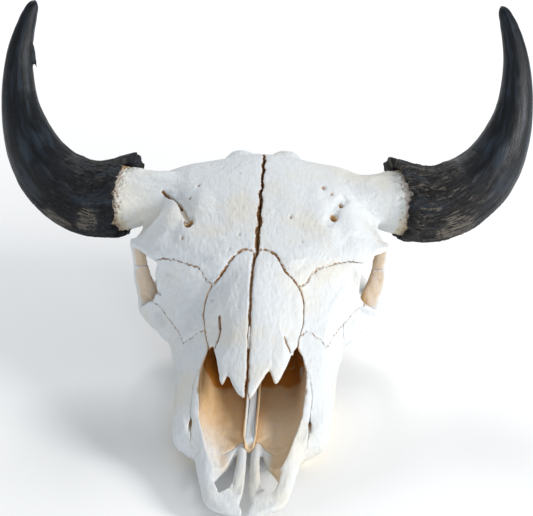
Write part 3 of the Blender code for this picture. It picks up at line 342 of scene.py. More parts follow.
def solid(node):
    """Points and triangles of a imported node, in metres."""
    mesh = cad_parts[node].data
    mesh.calc_loop_triangles()
    points = np.empty(len(mesh.vertices) * 3)
    mesh.vertices.foreach_get("co", points)
    tris = np.empty(len(mesh.loop_triangles) * 3, np.int64)
    mesh.loop_triangles.foreach_get("vertices", tris)
    points = points.reshape(-1, 3)
    kept, index = np.unique(np.round(points, 7), axis=0, return_inverse=True)
    return kept, index.reshape(-1)[tris].reshape(-1, 3)


def unit(rows):
    return rows / np.maximum(np.linalg.norm(rows, axis=1), 1e-12)[:, None]


def swollen(points, tris, splits, bulge):
    """Triangles split and bent to a smooth surface through their corners; sharp edges stay straight."""
    corners = [points[tris[:, k]] for k in range(3)]
    face = unit(np.cross(corners[1] - corners[0], corners[2] - corners[0]))
    normal = np.zeros_like(points)
    for k in range(3):
        a = unit(corners[(k + 1) % 3] - corners[k])
        b = unit(corners[(k + 2) % 3] - corners[k])
        angle = np.arccos(np.clip((a * b).sum(axis=1), -1, 1))
        np.add.at(normal, tris[:, k], face * angle[:, None])
    normal = unit(normal)
    flat = np.ones(len(points))
    for k in range(3):
        np.minimum.at(flat, tris[:, k], (normal[tris[:, k]] * face).sum(axis=1))
    weight = ramp(math.cos(SHARP_LEAN), math.cos(ROUND_LEAN), flat) * bulge
    grid = [(i, j) for i in range(splits + 1) for j in range(splits + 1 - i)]
    place = {ij: n for n, ij in enumerate(grid)}
    share = np.array([((splits - i - j) / splits, i / splits, j / splits) for i, j in grid])
    p = sum(share[None, :, k, None] * corners[k][:, None, :] for k in range(3))
    out = p.copy()
    for k in range(3):
        n = normal[tris[:, k]][:, None, :]
        off = ((p - corners[k][:, None, :]) * n).sum(axis=2, keepdims=True)
        out -= share[None, :, k, None] * weight[tris[:, k]][:, None, None] * off * n
    small = []
    for i, j in grid:
        if i + j < splits:
            small.append((place[i, j], place[i + 1, j], place[i, j + 1]))
        if i + j < splits - 1:
            small.append((place[i + 1, j], place[i + 1, j + 1], place[i, j + 1]))
    base = np.arange(len(tris))[:, None, None] * len(grid)
    return out.reshape(-1, 3), (base + np.array(small)[None]).reshape(-1, 3)


def mesh_from(name, points, tris):
    mesh = bpy.data.meshes.new(name)
    mesh.vertices.add(len(points))
    mesh.vertices.foreach_set("co", points.astype(np.float32).ravel())
    mesh.loops.add(len(tris) * 3)
    mesh.loops.foreach_set("vertex_index", tris.astype(np.int32).ravel())
    mesh.polygons.add(len(tris))
    mesh.polygons.foreach_set("loop_start", np.arange(0, len(tris) * 3, 3, dtype=np.int32))
    mesh.update(calc_edges=True)
    return mesh


def spike(line, radii):
    """Points and triangles of a thin six-sided splinter along a line, in metres."""
    rings = []
    for (x, y, z), r in zip(line, radii):
        for k in range(6):
            angle = k * math.tau / 6
            rings.append((x + r * math.cos(angle), y + r * math.sin(angle), z))
    tris = [(0, k + 1, k) for k in range(1, 5)]
    for i in range(len(line) - 1):
        for k in range(6):
            a, b = i * 6 + k, i * 6 + (k + 1) % 6
            tris += [(a, b, b + 6), (a, b + 6, a + 6)]
    last = (len(line) - 1) * 6
    tris += [(last, last + k, last + k + 1) for k in range(1, 5)]
    return np.array(rings), np.array(tris)


def fine_copy(context, name, node, sizes, rounds, extra=None):
    """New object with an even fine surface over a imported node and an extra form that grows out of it."""
    splits = sizes.splits
    points, tris = swollen(*solid(node), splits, sizes.bulge)
    if extra is not None:
        tris = np.concatenate((tris, extra[1] + len(points)))
        points = np.concatenate((points, extra[0]))
    obj = bpy.data.objects.new(name, mesh_from(name + ".soup", points, tris))
    context.scene.collection.objects.link(obj)
    remesh = obj.modifiers.new("even", "REMESH")
    remesh.mode = "VOXEL"
    remesh.voxel_size = sizes.voxel
    remesh.use_smooth_shade = True
    smooth = obj.modifiers.new("smooth", "SMOOTH")
    smooth.factor = 0.5
    smooth.iterations = rounds
    done = bpy.data.meshes.new_from_object(obj.evaluated_get(context.evaluated_depsgraph_get()))
    rough = obj.data
    obj.modifiers.clear()
    obj.data = done
    bpy.data.meshes.remove(rough)
    done.name = name
    return obj


def points_of(mesh):
    """Positions and normals of a mesh's points."""
    co = np.empty(len(mesh.vertices) * 3)
    mesh.vertices.foreach_get("co", co)
    normal = np.empty(len(mesh.vertices) * 3)
    mesh.vertex_normals.foreach_get("vector", normal)
    return co.reshape(-1, 3), normal.reshape(-1, 3)


def set_points(mesh, co):
    mesh.vertices.foreach_set("co", co.astype(np.float32).ravel())
    mesh.update()


def paint(mesh, name, values):
    """Stores one number for each point of a mesh."""
    layer = mesh.attributes.new(name, "FLOAT", "POINT")
    layer.data.foreach_set("value", np.clip(values, -9, 9).astype(np.float32))


def tree_of(nodes):
    """Search tree over the solids of several nodes, and the place in the list of each triangle's node."""
    points, tris, owner, start = [], [], [], 0
    for i, node in enumerate(nodes):
        p, t = solid(node)
        points.append(p)
        tris.append(t + start)
        owner.append(np.full(len(t), i))
        start += len(p)
    tree = BVHTree.FromPolygons(np.concatenate(points).tolist(), np.concatenate(tris).tolist())
    return tree, np.concatenate(owner)


def reach(forest, co, normal, limit):
    """Distance from each point to the nearest other node, how far it faces it, and which node it is."""
    tree, owner = forest
    far = np.full(len(co), limit)
    facing = np.zeros(len(co))
    which = np.zeros(len(co), np.int64)
    for i, (p, n) in enumerate(zip(co.tolist(), normal.tolist())):
        spot, _, index, away = tree.find_nearest(p, limit)
        if spot is not None:
            far[i] = away
            which[i] = owner[index]
            if away > 1e-9:
                facing[i] = (spot - Vector(p)).dot(Vector(n)) / away
    return far, facing, which


def painted_shade_share(forest, co, normal):
    """Share of the view from each point that bone closes off, used as painted shade. A ray from inside a
    solid counts as open.
    """
    cast = forest[0].ray_cast
    rng = np.random.default_rng(5)
    turns = unit(rng.normal(size=(SHADE_RAYS, 3)))
    start = (co + normal * SHADE_START).tolist()
    closed = np.zeros(len(co))
    for turn in turns:
        aims = unit(normal + turn * SHADE_SPREAD).tolist()
        for i, (p, aim) in enumerate(zip(start, aims)):
            spot, face, _, _ = cast(p, aim, SHADE_REACH)
            if spot is not None and face.x * aim[0] + face.y * aim[1] + face.z * aim[2] < 0:
                closed[i] += 1
    return closed / len(turns)


def neighbour_mean(mesh, values, rounds):
    """Values blurred over the edges of a mesh."""
    ends = np.empty(len(mesh.edges) * 2, np.int64)
    mesh.edges.foreach_get("vertices", ends)
    a, b = ends.reshape(-1, 2).T
    count = np.bincount(a, minlength=len(values)) + np.bincount(b, minlength=len(values)) + 1.0
    for _ in range(rounds):
        total = values.copy()
        total += np.bincount(a, values[b], minlength=len(values))
        total += np.bincount(b, values[a], minlength=len(values))
        values = total / count
    return values


# Relief of the bone

def skull_place(co):
    """x from the middle plane, d from the muzzle and z from the floor, in mm."""
    return co[:, 0] * 1000 + MIDDLE_X, co[:, 1] * 1000 + MIDDLE_D, co[:, 2] * 1000


def near_line(x, d, line):
    """Distance in plan from each point to a line of points, in mm."""
    best = np.full(len(x), 1e6)
    for (x1, d1), (x2, d2) in zip(line, line[1:]):
        run = (x2 - x1) ** 2 + (d2 - d1) ** 2
        t = np.clip(((x - x1) * (x2 - x1) + (d - d1) * (d2 - d1)) / run, 0, 1)
        best = np.minimum(best, np.hypot(x - x1 - t * (x2 - x1), d - d1 - t * (d2 - d1)))
    return best


def mound(x, d, at, half, turn=0.0):
    """Soft hill of height 1 over an oval in plan."""
    c, s = math.cos(turn), math.sin(turn)
    u = ((x - at[0]) * c + (d - at[1]) * s) / half[0]
    v = ((d - at[1]) * c - (x - at[0]) * s) / half[1]
    return np.exp(-(u * u + v * v))


def bone_relief(node, co, normal, gap, facing, seam, sizes):
    """Height over the smooth surface in metres, and the stain and painted shade of holes and cracks from 0
    to 1.
    """
    mm = co * 1000
    x, d, z = skull_place(co)
    side = np.abs(x)
    grain = sizes.grain
    height = 0.8 * grain * layered(mm / 24, 3, 1)
    # Grain runs from the muzzle to the crown and turns out towards the horns on the forehead
    turn = ramp(290, 400, d) * 0.9 * np.sign(x) * ramp(0, 90, side)
    along = mm[:, 1] * np.cos(turn) + mm[:, 0] * np.sin(turn)
    across = mm[:, 0] * np.cos(turn) - mm[:, 1] * np.sin(turn)
    streak = waves(np.stack((across / 3.2, along / 17, mm[:, 2] / 5), axis=1), 21)
    height += 1.1 * grain * streak * ramp(-0.6, 0.4, normal[:, 2])
    height += 0.6 * grain * waves(mm / 3.6, 23) + 0.9 * grain * waves(mm / 9, 24)
    up = ramp(0.1, 0.5, normal[:, 2])
    stain_and_shade = np.zeros(len(co))
    if node.startswith("frontal"):
        # Swellings of the forehead beside the grooves, and the shallow hollows between them
        swell = 0.0
        for s in (-1, 1):
            for rise, at, half, tilt in BROW_SWELLS:
                swell += rise * mound(x, d, (s * at[0], at[1]), half, s * tilt)
        height += 0.001 * np.clip(swell, -3.0, 3.0) * up
    # Rough bone on the ridges of the nape, the cheek and the gum
    rough = ramp(*NAPE_D, d) * ramp(*NAPE_Z, z)
    rough += 0.7 * ramp(*GUM_Z, z) * ramp(*GUM_X, side) * ramp(*GUM_D, d)
    height += rough * ROUGH_HEIGHT * layered(mm / ROUGH_SIZE, 3, 31)
    # Sutures: the lips are worn back, more in some places than others
    wide = ramp(*OPEN_SEAM, seam)
    lip = np.exp(-(gap / (LIP_WIDTH + LIP_MORE * wide)) ** 2) * (0.1 + 0.9 * seam)
    wear = 0.2 + 0.8 * ramp(-0.2, 0.45, layered(mm / 4.5, 3, 41))
    height -= (0.8 + 0.8 * wide) * sizes.crumble * lip * wear * (1 - 0.75 * ramp(0.3, 0.9, facing))
    if node.startswith(("frontal", "nasal", "parietal")):
        # Holes and cracks dip in, and their colour darkens with their depth: painted shade of the hollow,
        # with some brown stain in it
        for hx, hd, radius, depth in VESSEL_HOLES:
            away = np.hypot((x - hx) * 1.15, (d - hd) * 0.8) / radius
            dip = np.exp(-away ** 4) * up
            height -= dip * depth * 0.001
            stain_and_shade = np.maximum(stain_and_shade, dip * min(1.4, 0.32 * depth))
        for line, half, depth in CRACKS:
            away = near_line(x + 0.5 * waves(mm / 4, 43), d, line) / half
            dip = np.exp(-(away / 1.3) ** 4) * up
            height -= dip * depth * 0.001
            stain_and_shade = np.maximum(stain_and_shade, dip)
    return height, stain_and_shade


def faces_point(x, d, z, normal, at):
    """How far each point's normal turns towards a place in the skull's own measures."""
    toward = np.stack((at[0] * np.sign(x) - x, at[1] - d, at[2] - z), axis=1)
    return (unit(toward) * normal).sum(axis=1)


def hollow_stain_and_shade(node, x, d, z, normal, closed):
    """How much each point is tinted: painted shade where bone closes it in, and stain, more in the nose and
    on the orbit's walls.
    """
    deep = np.sqrt(((np.abs(x) - ORBIT[0]) / ORBIT_HALF[0]) ** 2 + ((d - ORBIT[1]) / ORBIT_HALF[1]) ** 2 +
                   ((z - ORBIT[2]) / ORBIT_HALF[2]) ** 2)
    orbit = ramp(1.42, 1.2, deep) * ramp(0.12, 0.42, faces_point(x, d, z, normal, ORBIT_FRONT))
    orbit *= ramp(283, 292, d)
    middle = np.stack((NOSE_X - x, np.zeros(len(x)), 52 + (d - 80) * 0.22 - z), axis=1)
    nose = ramp(-0.1, 0.2, (unit(middle) * normal).sum(axis=1))
    nose *= (np.abs(x - NOSE_X) < NOSE_HALF) * (d < NOSE_BACK) * (z > NOSE_FLOOR)
    nose *= ramp(0.0, 0.06, closed)
    if node.startswith("premaxilla"):
        nose = nose * ramp(*STAIN_START, np.abs(x - VOMER_X))
    # The nose is tan on its walls and floor, rust brown under its roof, and cleaner low on its right wall
    depth = d + 0.3 * (z - 50)
    # The wall at negative x, which the key lamp lights, takes more stain, and the wall at positive x, in its
    # shade, less: painted shade and painted light on top of the stain
    inside = (0.54 - 0.1 * ramp(-10, 10, x)) * ramp(*NOSE_TAN, depth + 30 * ramp(-30, 20, x))
    inside *= 1 - 0.6 * mound(x, d, *NOSE_CLEAN)
    inside += 0.4 * ramp(*NOSE_RUST, depth + 5 * waves(np.stack((x / 14, d / 14, z / 14), axis=1), 91))
    # Painted shade from how far bone closes a point in, kept low inside the nose, with the nose's stain
    # added
    stain_and_shade = np.clip(closed - 0.35, 0, 1) * (1 - 0.85 * nose) + nose * inside
    return np.maximum(stain_and_shade, 0.38 * orbit)


def dress_bone(context, node, sizes, forests):
    obj = fine_copy(context, "bone_" + node, node, sizes, BONE_ROUNDS)
    mesh = obj.data
    co, normal = points_of(mesh)
    mm = co * 1000
    others = [other for other in BONES if other != node]
    gap, facing, which = reach(forests[node], co, normal, SEAM_REACH)
    kinds = [frozenset((node.split("_")[0], other.split("_")[0])) for other in others]
    seam = np.array([SEAMS.get(kind, FAINT_SEAM) for kind in kinds])[which]
    seam = neighbour_mean(mesh, seam, 2)
    # How far bone closes each point in, which is painted as shade
    closed = neighbour_mean(mesh, painted_shade_share(forests["all"], co, normal), 4)
    height, stain_and_shade = bone_relief(node, co, normal, gap, facing, seam, sizes)
    x, d, z = skull_place(co)
    # Burr: lumps and holes, the holes darkened more in some places than in others, partly as stain and
    # partly as painted shade in them
    porous = np.zeros(len(co))
    if node.startswith("frontal"):
        rim, _, _ = reach(forests["horns"], co, normal, RIM_REACH)
        porous = ramp(*BURR_FADE, rim + 0.003 * waves(mm / 8, 53)) * ramp(126, 136, np.abs(x))
        near = porous > 0.01
        holes = np.ones(len(co))
        holes[near] = pores(mm[near] / BURR_PITCH, 3)
        bore = (1 - ramp(0.2, 0.5, holes)) * porous
        height += porous * BURR_HEIGHT * layered(mm / 3.6, 2, 51) - bore * BURR_BORE
        stain_and_shade = np.maximum(stain_and_shade, bore * (0.3 + 0.5 * ramp(-0.1, 0.4, waves(mm / 7, 54))))
        # Painted shade in a band of the burr next to the sheath's rim, darker nearer to it
        stain_and_shade = np.maximum(stain_and_shade, 0.4 * ramp(0.007, 0.0015, rim) * porous)
    # The lips' brown line, and the walls between two bones
    line = np.exp(-np.maximum(gap - 0.0007, 0) / 0.0004)
    wall = ramp(0.35, 0.8, facing) * ramp(0.008, 0.003, gap)
    suture = np.maximum(line, wall) * seam
    # The middle seams are open: a broad ochre band on the nose, a darker one on the forehead
    wide = ramp(*OPEN_SEAM, seam) * np.exp(-np.maximum(gap - 0.0016, 0) / 0.0004)
    stain_and_shade = np.maximum(stain_and_shade, (0.6 if node.startswith("nasal") else 0.85) * wide)
    if node.startswith("nasal"):
        suture = np.minimum(suture, 0.6)
    # Cheek teeth: ribbed enamel with dark furrows, and a stained gum line
    tooth = np.zeros(len(co))
    if node.startswith("maxilla"):
        tooth = ramp(*TOOTH_TOP, z) * ramp(*TOOTH_FRONT, d)
        ribs = np.abs(np.sin(d * TOOTH_RIBS + 0.6 * np.sign(x) + 0.3 * waves(mm / 9, 56)))
        height += tooth * (0.0012 * np.sqrt(ribs) - 0.0008 + 0.0003 * layered(mm / 4, 2, 57))
        stain_and_shade = np.maximum(stain_and_shade, tooth * (0.5 * ramp(0.35, 0.05, ribs) + 0.18 * ramp(20, 27, z)))
    height = np.clip(height, *BONE_RELIEF)
    co = co + normal * height[:, None]
    # The muzzle's tips turn up a little, and nothing goes under the floor
    lowest = MUZZLE_RISE * ramp(26, 2, d) if node.startswith("premaxilla") else 0.0
    co[:, 2] = np.maximum(co[:, 2], lowest)
    set_points(mesh, co)
    cream = ramp(*PEDICLE_X, np.abs(x)) * ramp(*PEDICLE_D, d) * ramp(*PEDICLE_Z, z)
    cream = 0.2 * cream + 0.1 * porous + 0.75 * porous * ramp(190, 162, z)
    closed = neighbour_mean(mesh, hollow_stain_and_shade(node, x, d, z, normal, closed), 5)
    for name, values in zip(PAINTED, (closed, suture, stain_and_shade, cream, tooth)):
        paint(mesh, name, values)
    return obj


# Horn sheaths

def smooth_axis():
    """Points of the horn's axis (x, d, z) on the +x side, radii and run from the base, in mm."""
    keys = np.array(HORN_AXIS, float)
    steps = np.linalg.norm(np.diff(keys[:, :2], axis=0), axis=1)
    run = np.concatenate(([0.0], np.cumsum(steps)))
    at = np.linspace(0, run[-1], AXIS_POINTS)
    x, height, radius = (np.interp(at, run, keys[:, k]) for k in range(3))
    d = HORN_D + height * math.sin(HORN_LEAN)
    z = HORN_Z + height * math.cos(HORN_LEAN)
    return np.stack((x, d, z), axis=1), radius, at


AXIS, AXIS_RADIUS, AXIS_RUN = smooth_axis()
TANGENT = unit(np.gradient(AXIS, axis=0))
BACKWARD = np.array((0.0, math.cos(HORN_LEAN), -math.sin(HORN_LEAN)))

# The sheath's rim: its run from the base in mm, its slant, since its lower front reaches further out, the
# angle of that slant, and how far it is torn back in metres
RIM_RUN = 25.0
RIM_SLANT = 15.5
RIM_TURN = math.radians(60)
RIM_TORN = 0.0075

# Splinter that stands off the inner side of the right horn near its tip, in metres
SPLINTER = ((-0.2700, 0.2200, 0.3340), (-0.2673, 0.2200, 0.3278), (-0.2656, 0.2185, 0.3195),
            (-0.2640, 0.2160, 0.3110), (-0.2624, 0.2135, 0.3037))
SPLINTER_RADII = (0.0030, 0.0028, 0.0024, 0.0018, 0.0009)

# Layers that peel near the horn's base: runs past the rim in mm between which they fade out, their size
# round and along it in mm, their number, the share of one that its torn edge takes, and the step in tone
PEEL_RUN = (135, 35)
PEEL_SIZE = (9, 9, 24)
PEEL_NUMBER = 3.4
LAYER_EDGE = 0.16
TONE_STEP = 0.618

# Fibres and growth rings of the horn: size of a fibre and run to a radian of the rings in mm, and their
# heights in metres
FIBRE_SIZE = (2.2, 2.2, 45)
FIBRE_HEIGHT = 0.00026
RING_SWING = 5.2
RING_HEIGHT = 0.0002


def nearest_axis(co):
    """Place in the list of axis points that is nearest to each point of either horn."""
    x, d, z = skull_place(co)
    p = np.stack((np.abs(x), d, z), axis=1)
    best = np.zeros(len(p), np.int64)
    least = np.full(len(p), 1e12)
    for k in range(len(AXIS)):
        away = ((p - AXIS[k]) ** 2).sum(axis=1)
        nearer = away < least
        least[nearer] = away[nearer]
        best[nearer] = k
    return best


def horn_place(co):
    """Run along the horn from the sheath's rim, distance from the axis in mm, and angle about it."""
    x, d, z = skull_place(co)
    best = nearest_axis(co)
    offset = np.stack((np.abs(x), d, z), axis=1) - AXIS[best]
    tangent = TANGENT[best]
    out = np.cross(np.broadcast_to(BACKWARD, tangent.shape), tangent)
    angle = np.arctan2((offset * BACKWARD).sum(axis=1), (offset * out).sum(axis=1))
    run = AXIS_RUN[best] + (offset * tangent).sum(axis=1) - RIM_RUN
    run -= RIM_SLANT * np.cos(angle + RIM_TURN) * ramp(60, 0, run)
    return run, np.linalg.norm(offset, axis=1), angle


def dress_sheath(context, node, sizes):
    splinter = spike(SPLINTER, SPLINTER_RADII) if node.endswith("right") else None
    obj = fine_copy(context, "horn_" + node.split("_")[-1], node, sizes, HORN_ROUNDS, splinter)
    mesh = obj.data
    co, normal = points_of(mesh)
    run, radius, angle = horn_place(co)
    sign = 1 if node.endswith("left") else -1
    # Coordinates that follow the horn: the last grows along it, the others turn round it
    girth = np.interp(run + RIM_RUN, AXIS_RUN, AXIS_RADIUS)
    around = np.stack((np.cos(angle) * WINDING, np.sin(angle) * WINDING, run), axis=1)
    outside = ramp(0.72, 0.86, radius / np.maximum(girth, 3.0))
    fibres = waves(around / np.array(FIBRE_SIZE), 61)
    fibres += 0.6 * waves(around / np.array((1.4, 1.4, 24)), 62)
    base = ramp(*PEEL_RUN, run + 26 * waves(around / 30, 63 + sign))
    # Peeling layers: terraces of horn, long in the direction of the fibres, with ragged edges
    bent = around + 1.6 * np.stack([layered(around / 5, 3, 71 + k) for k in range(3)], axis=1)
    peel = PEEL_NUMBER * layered(bent / np.array(PEEL_SIZE), 4, 65 + sign)
    step = np.floor(peel)
    edge = peel - step
    tone = ((step + 9) * TONE_STEP) % 1.0
    crack = ramp(LAYER_EDGE, 0.0, edge)
    lift = 0.42 * (step + ramp(0.0, LAYER_EDGE, edge)) - 0.3 * crack
    height = sizes.flake * base * lift * outside
    height += FIBRE_HEIGHT * fibres * (0.3 + 0.7 * base) * outside
    height += 0.0005 * layered(around / np.array((18, 18, 40)), 2, 67) * outside
    rings = np.sin(run / RING_SWING + 1.6 * waves(around / 24, 77))
    height += RING_HEIGHT * rings * ramp(190, 90, run) * outside
    height = np.clip(height, *HORN_RELIEF)
    worn = np.zeros(len(co))
    for side, at, toward, half, width in WORN_PLACES:
        if side == sign:
            apart = np.abs((angle - toward + math.pi) % math.tau - math.pi)
            worn = np.maximum(worn, np.exp(-((run - at) / half) ** 2 - (apart / width) ** 2))
    worn = 0.55 * ramp(0.25, 0.7, worn * (1 + 0.8 * waves(around / np.array((6, 6, 14)), 79)))
    # The rim is torn back unevenly
    ring = np.stack((np.cos(angle) * 3.6, np.sin(angle) * 3.6, np.zeros(len(angle))), axis=1)
    jag = ramp(-0.2, 0.5, layered(ring, 5, 68 + sign))
    tangent = TANGENT[nearest_axis(co)]
    tangent[:, 0] *= np.sign(co[:, 0])
    shift = RIM_TORN * jag * ramp(20, -4, run)
    set_points(mesh, co + normal * height[:, None] + tangent * shift[:, None])
    # The right horn, away from the key lamp, has darker flakes than the left: partly their own tone, partly
    # painted shade
    flake = (0.64 + 0.36 * sign) * base * np.clip(0.25 + 0.9 * tone - 0.9 * crack, 0, 1)
    for name, values in zip(HORN_PAINTED, (flake, crack * base, base, worn)):
        paint(mesh, name, values)
    layer = mesh.attributes.new("along", "FLOAT_VECTOR", "POINT")
    layer.data.foreach_set("vector", (around * 0.001).astype(np.float32).ravel())
    return obj


# Materials

def node_add(tree, kind, links=None, **settings):
    """Adds a shader node, sets its properties and sockets, and joins its inputs."""
    node = tree.nodes.new(kind)
    for key, value in settings.items():
        setattr(node, key, value)
    for socket, source in (links or {}).items():
        target = node.inputs[socket]
        if isinstance(source, bpy.types.NodeSocket):
            tree.links.new(source, target)
        else:
            target.default_value = source
    return node


def new_material(name):
    material = bpy.data.materials.new(name)
    material.use_nodes = True
    material.node_tree.nodes.clear()
    return material, material.node_tree


def rgba(rgb):
    return (rgb[0], rgb[1], rgb[2], 1.0)


def bleached_bone(colours):
    """Compact bone, weathered white in the open: chalky and finely grained, with stain and painted shade in
    its hollows.

    The eye gets a matt blue-white with soft streaks along the skull, pores like pin pricks, and tan to brown
    stain in the sutures, the nose and the back of the orbits, with painted shade from tan to almost black
    where bone closes a point in and in holes and cracks."""
    material, tree = new_material("bleached_bone")
    smooth = {"interpolation_type": "SMOOTHSTEP"}
    place = node_add(tree, "ShaderNodeTexCoord").outputs["Object"]
    painted = {}
    for name in PAINTED:
        painted[name] = node_add(tree, "ShaderNodeAttribute", attribute_name=name).outputs["Fac"]
    noise = {}
    for name, (size, detail) in BONE_PATTERNS.items():
        noise[name] = node_add(tree, "ShaderNodeTexNoise", {"Vector": place, "Scale": 1000.0 / size,
                                                            "Detail": detail}).outputs["Fac"]
    drawn = node_add(tree, "ShaderNodeMapping", {"Vector": place, "Scale": STREAK_STRETCH}).outputs["Vector"]
    streak = node_add(tree, "ShaderNodeTexNoise", {"Vector": drawn, "Scale": 1000.0 / STREAK_WIDTH,
                                                   "Detail": 4.0, "Roughness": 0.6}).outputs["Fac"]
    cells = node_add(tree, "ShaderNodeTexVoronoi", {"Vector": place, "Scale": 1000.0 / PORE_PITCH})
    # How much of each pattern shows: clouds, streaks, pores, the patches they gather in, and broken lips
    shown = {}
    for name, value, low, high, least, most in (
            ("cloud", noise["cloud"], 0.45, 0.75, 0.0, 1.0), ("streak", streak, 0.5, 0.8, 0.0, 0.22),
            ("pore", cells.outputs["Distance"], 0.06, 0.16, 1.0, 0.0),
            ("patch", noise["patch"], 0.48, 0.66, 0.0, 1.0), ("lips", noise["lips"], 0.3, 0.6, 0.15, 1.1)):
        shown[name] = node_add(tree, "ShaderNodeMapRange", {"Value": value, "From Min": low,
                                                            "From Max": high, "To Min": least,
                                                            "To Max": most}, **smooth).outputs[0]
    # White bone, warmer in clouds and creamy on the pedicles, with faint tan streaks and pin-prick pores
    prick = node_add(tree, "ShaderNodeMath", {0: shown["pore"], 1: shown["patch"]},
                     operation="MULTIPLY").outputs[0]
    dotted = node_add(tree, "ShaderNodeMath", {0: prick, 1: 0.55}, operation="MULTIPLY").outputs[0]
    layers = [(shown["cloud"], colours.bone_warm), (painted["cream"], colours.bone_cream),
              (shown["streak"], colours.tan), (dotted, colours.tan)]
    # Tan, then brown, then almost black as this value grows: stain in the nose and orbits, and painted shade
    # where bone closes a point in
    cloudy = node_add(tree, "ShaderNodeMapRange", {"Value": noise["blotch"], "From Min": 0.25,
                                                   "From Max": 0.75, "To Min": -0.05,
                                                   "To Max": 0.05}).outputs[0]
    closed = node_add(tree, "ShaderNodeMath", {0: painted["closed"], 1: cloudy}, operation="ADD").outputs[0]
    for low, high, tint in ((0.1, 0.6, colours.tan), (0.56, 0.92, colours.brown),
                            (0.95, 1.3, colours.umber)):
        share = node_add(tree, "ShaderNodeMapRange", {"Value": closed, "From Min": low, "From Max": high,
                                                      "To Max": 0.92}, **smooth).outputs[0]
        layers.append((share, tint))
    layers.append((painted["tooth"], colours.enamel))
    # Sutures, broken up along their length, and the stain and painted shade of holes, cracks and the burr
    lip = node_add(tree, "ShaderNodeMath", {0: painted["suture"], 1: shown["lips"]},
                   operation="MULTIPLY").outputs[0]
    for value, low, high, tint in ((lip, 0.2, 0.55, colours.suture), (lip, 0.75, 1.1, colours.umber),
                                   (painted["stain_and_shade"], 0.15, 0.7, colours.suture),
                                   (painted["stain_and_shade"], 0.7, 1.2, colours.umber)):
        share = node_add(tree, "ShaderNodeMapRange", {"Value": value, "From Min": low, "From Max": high,
                                                      "To Max": 0.9}, **smooth).outputs[0]
        layers.append((share, tint))
    base = rgba(colours.bone)
    for share, tint in layers:
        base = node_add(tree, "ShaderNodeMix", {0: share, 6: base, 7: rgba(tint)},
                        data_type="RGBA").outputs[2]
    dull = node_add(tree, "ShaderNodeMapRange", {"Value": noise["lips"], "From Min": 0.3, "From Max": 0.7,
                                                 "To Min": 0.54, "To Max": 0.76}).outputs[0]
    glaze = node_add(tree, "ShaderNodeMath", {0: painted["tooth"], 1: 0.3}, operation="MULTIPLY").outputs[0]
    dull = node_add(tree, "ShaderNodeMath", {0: dull, 1: glaze}, operation="SUBTRACT").outputs[0]
    # Relief finer than the mesh: grain, streaks and pores
    bump = node_add(tree, "ShaderNodeBump", {"Height": noise["grain"], "Strength": 0.5, "Distance": 0.0008})
    bump = node_add(tree, "ShaderNodeBump", {"Height": streak, "Strength": 0.6, "Distance": 0.0011,
                                             "Normal": bump.outputs[0]})
    bump = node_add(tree, "ShaderNodeBump", {"Height": prick, "Strength": 0.7, "Distance": 0.0008,
                                             "Normal": bump.outputs[0]}, invert=True)
    shader = node_add(tree, "ShaderNodeBsdfPrincipled", {"Base Color": base, "Roughness": dull,
                                                         "Normal": bump.outputs[0], "IOR": 1.45,
                                                         "Specular IOR Level": 0.3})
    node_add(tree, "ShaderNodeOutputMaterial", {"Surface": shader.outputs[0]})
    return material


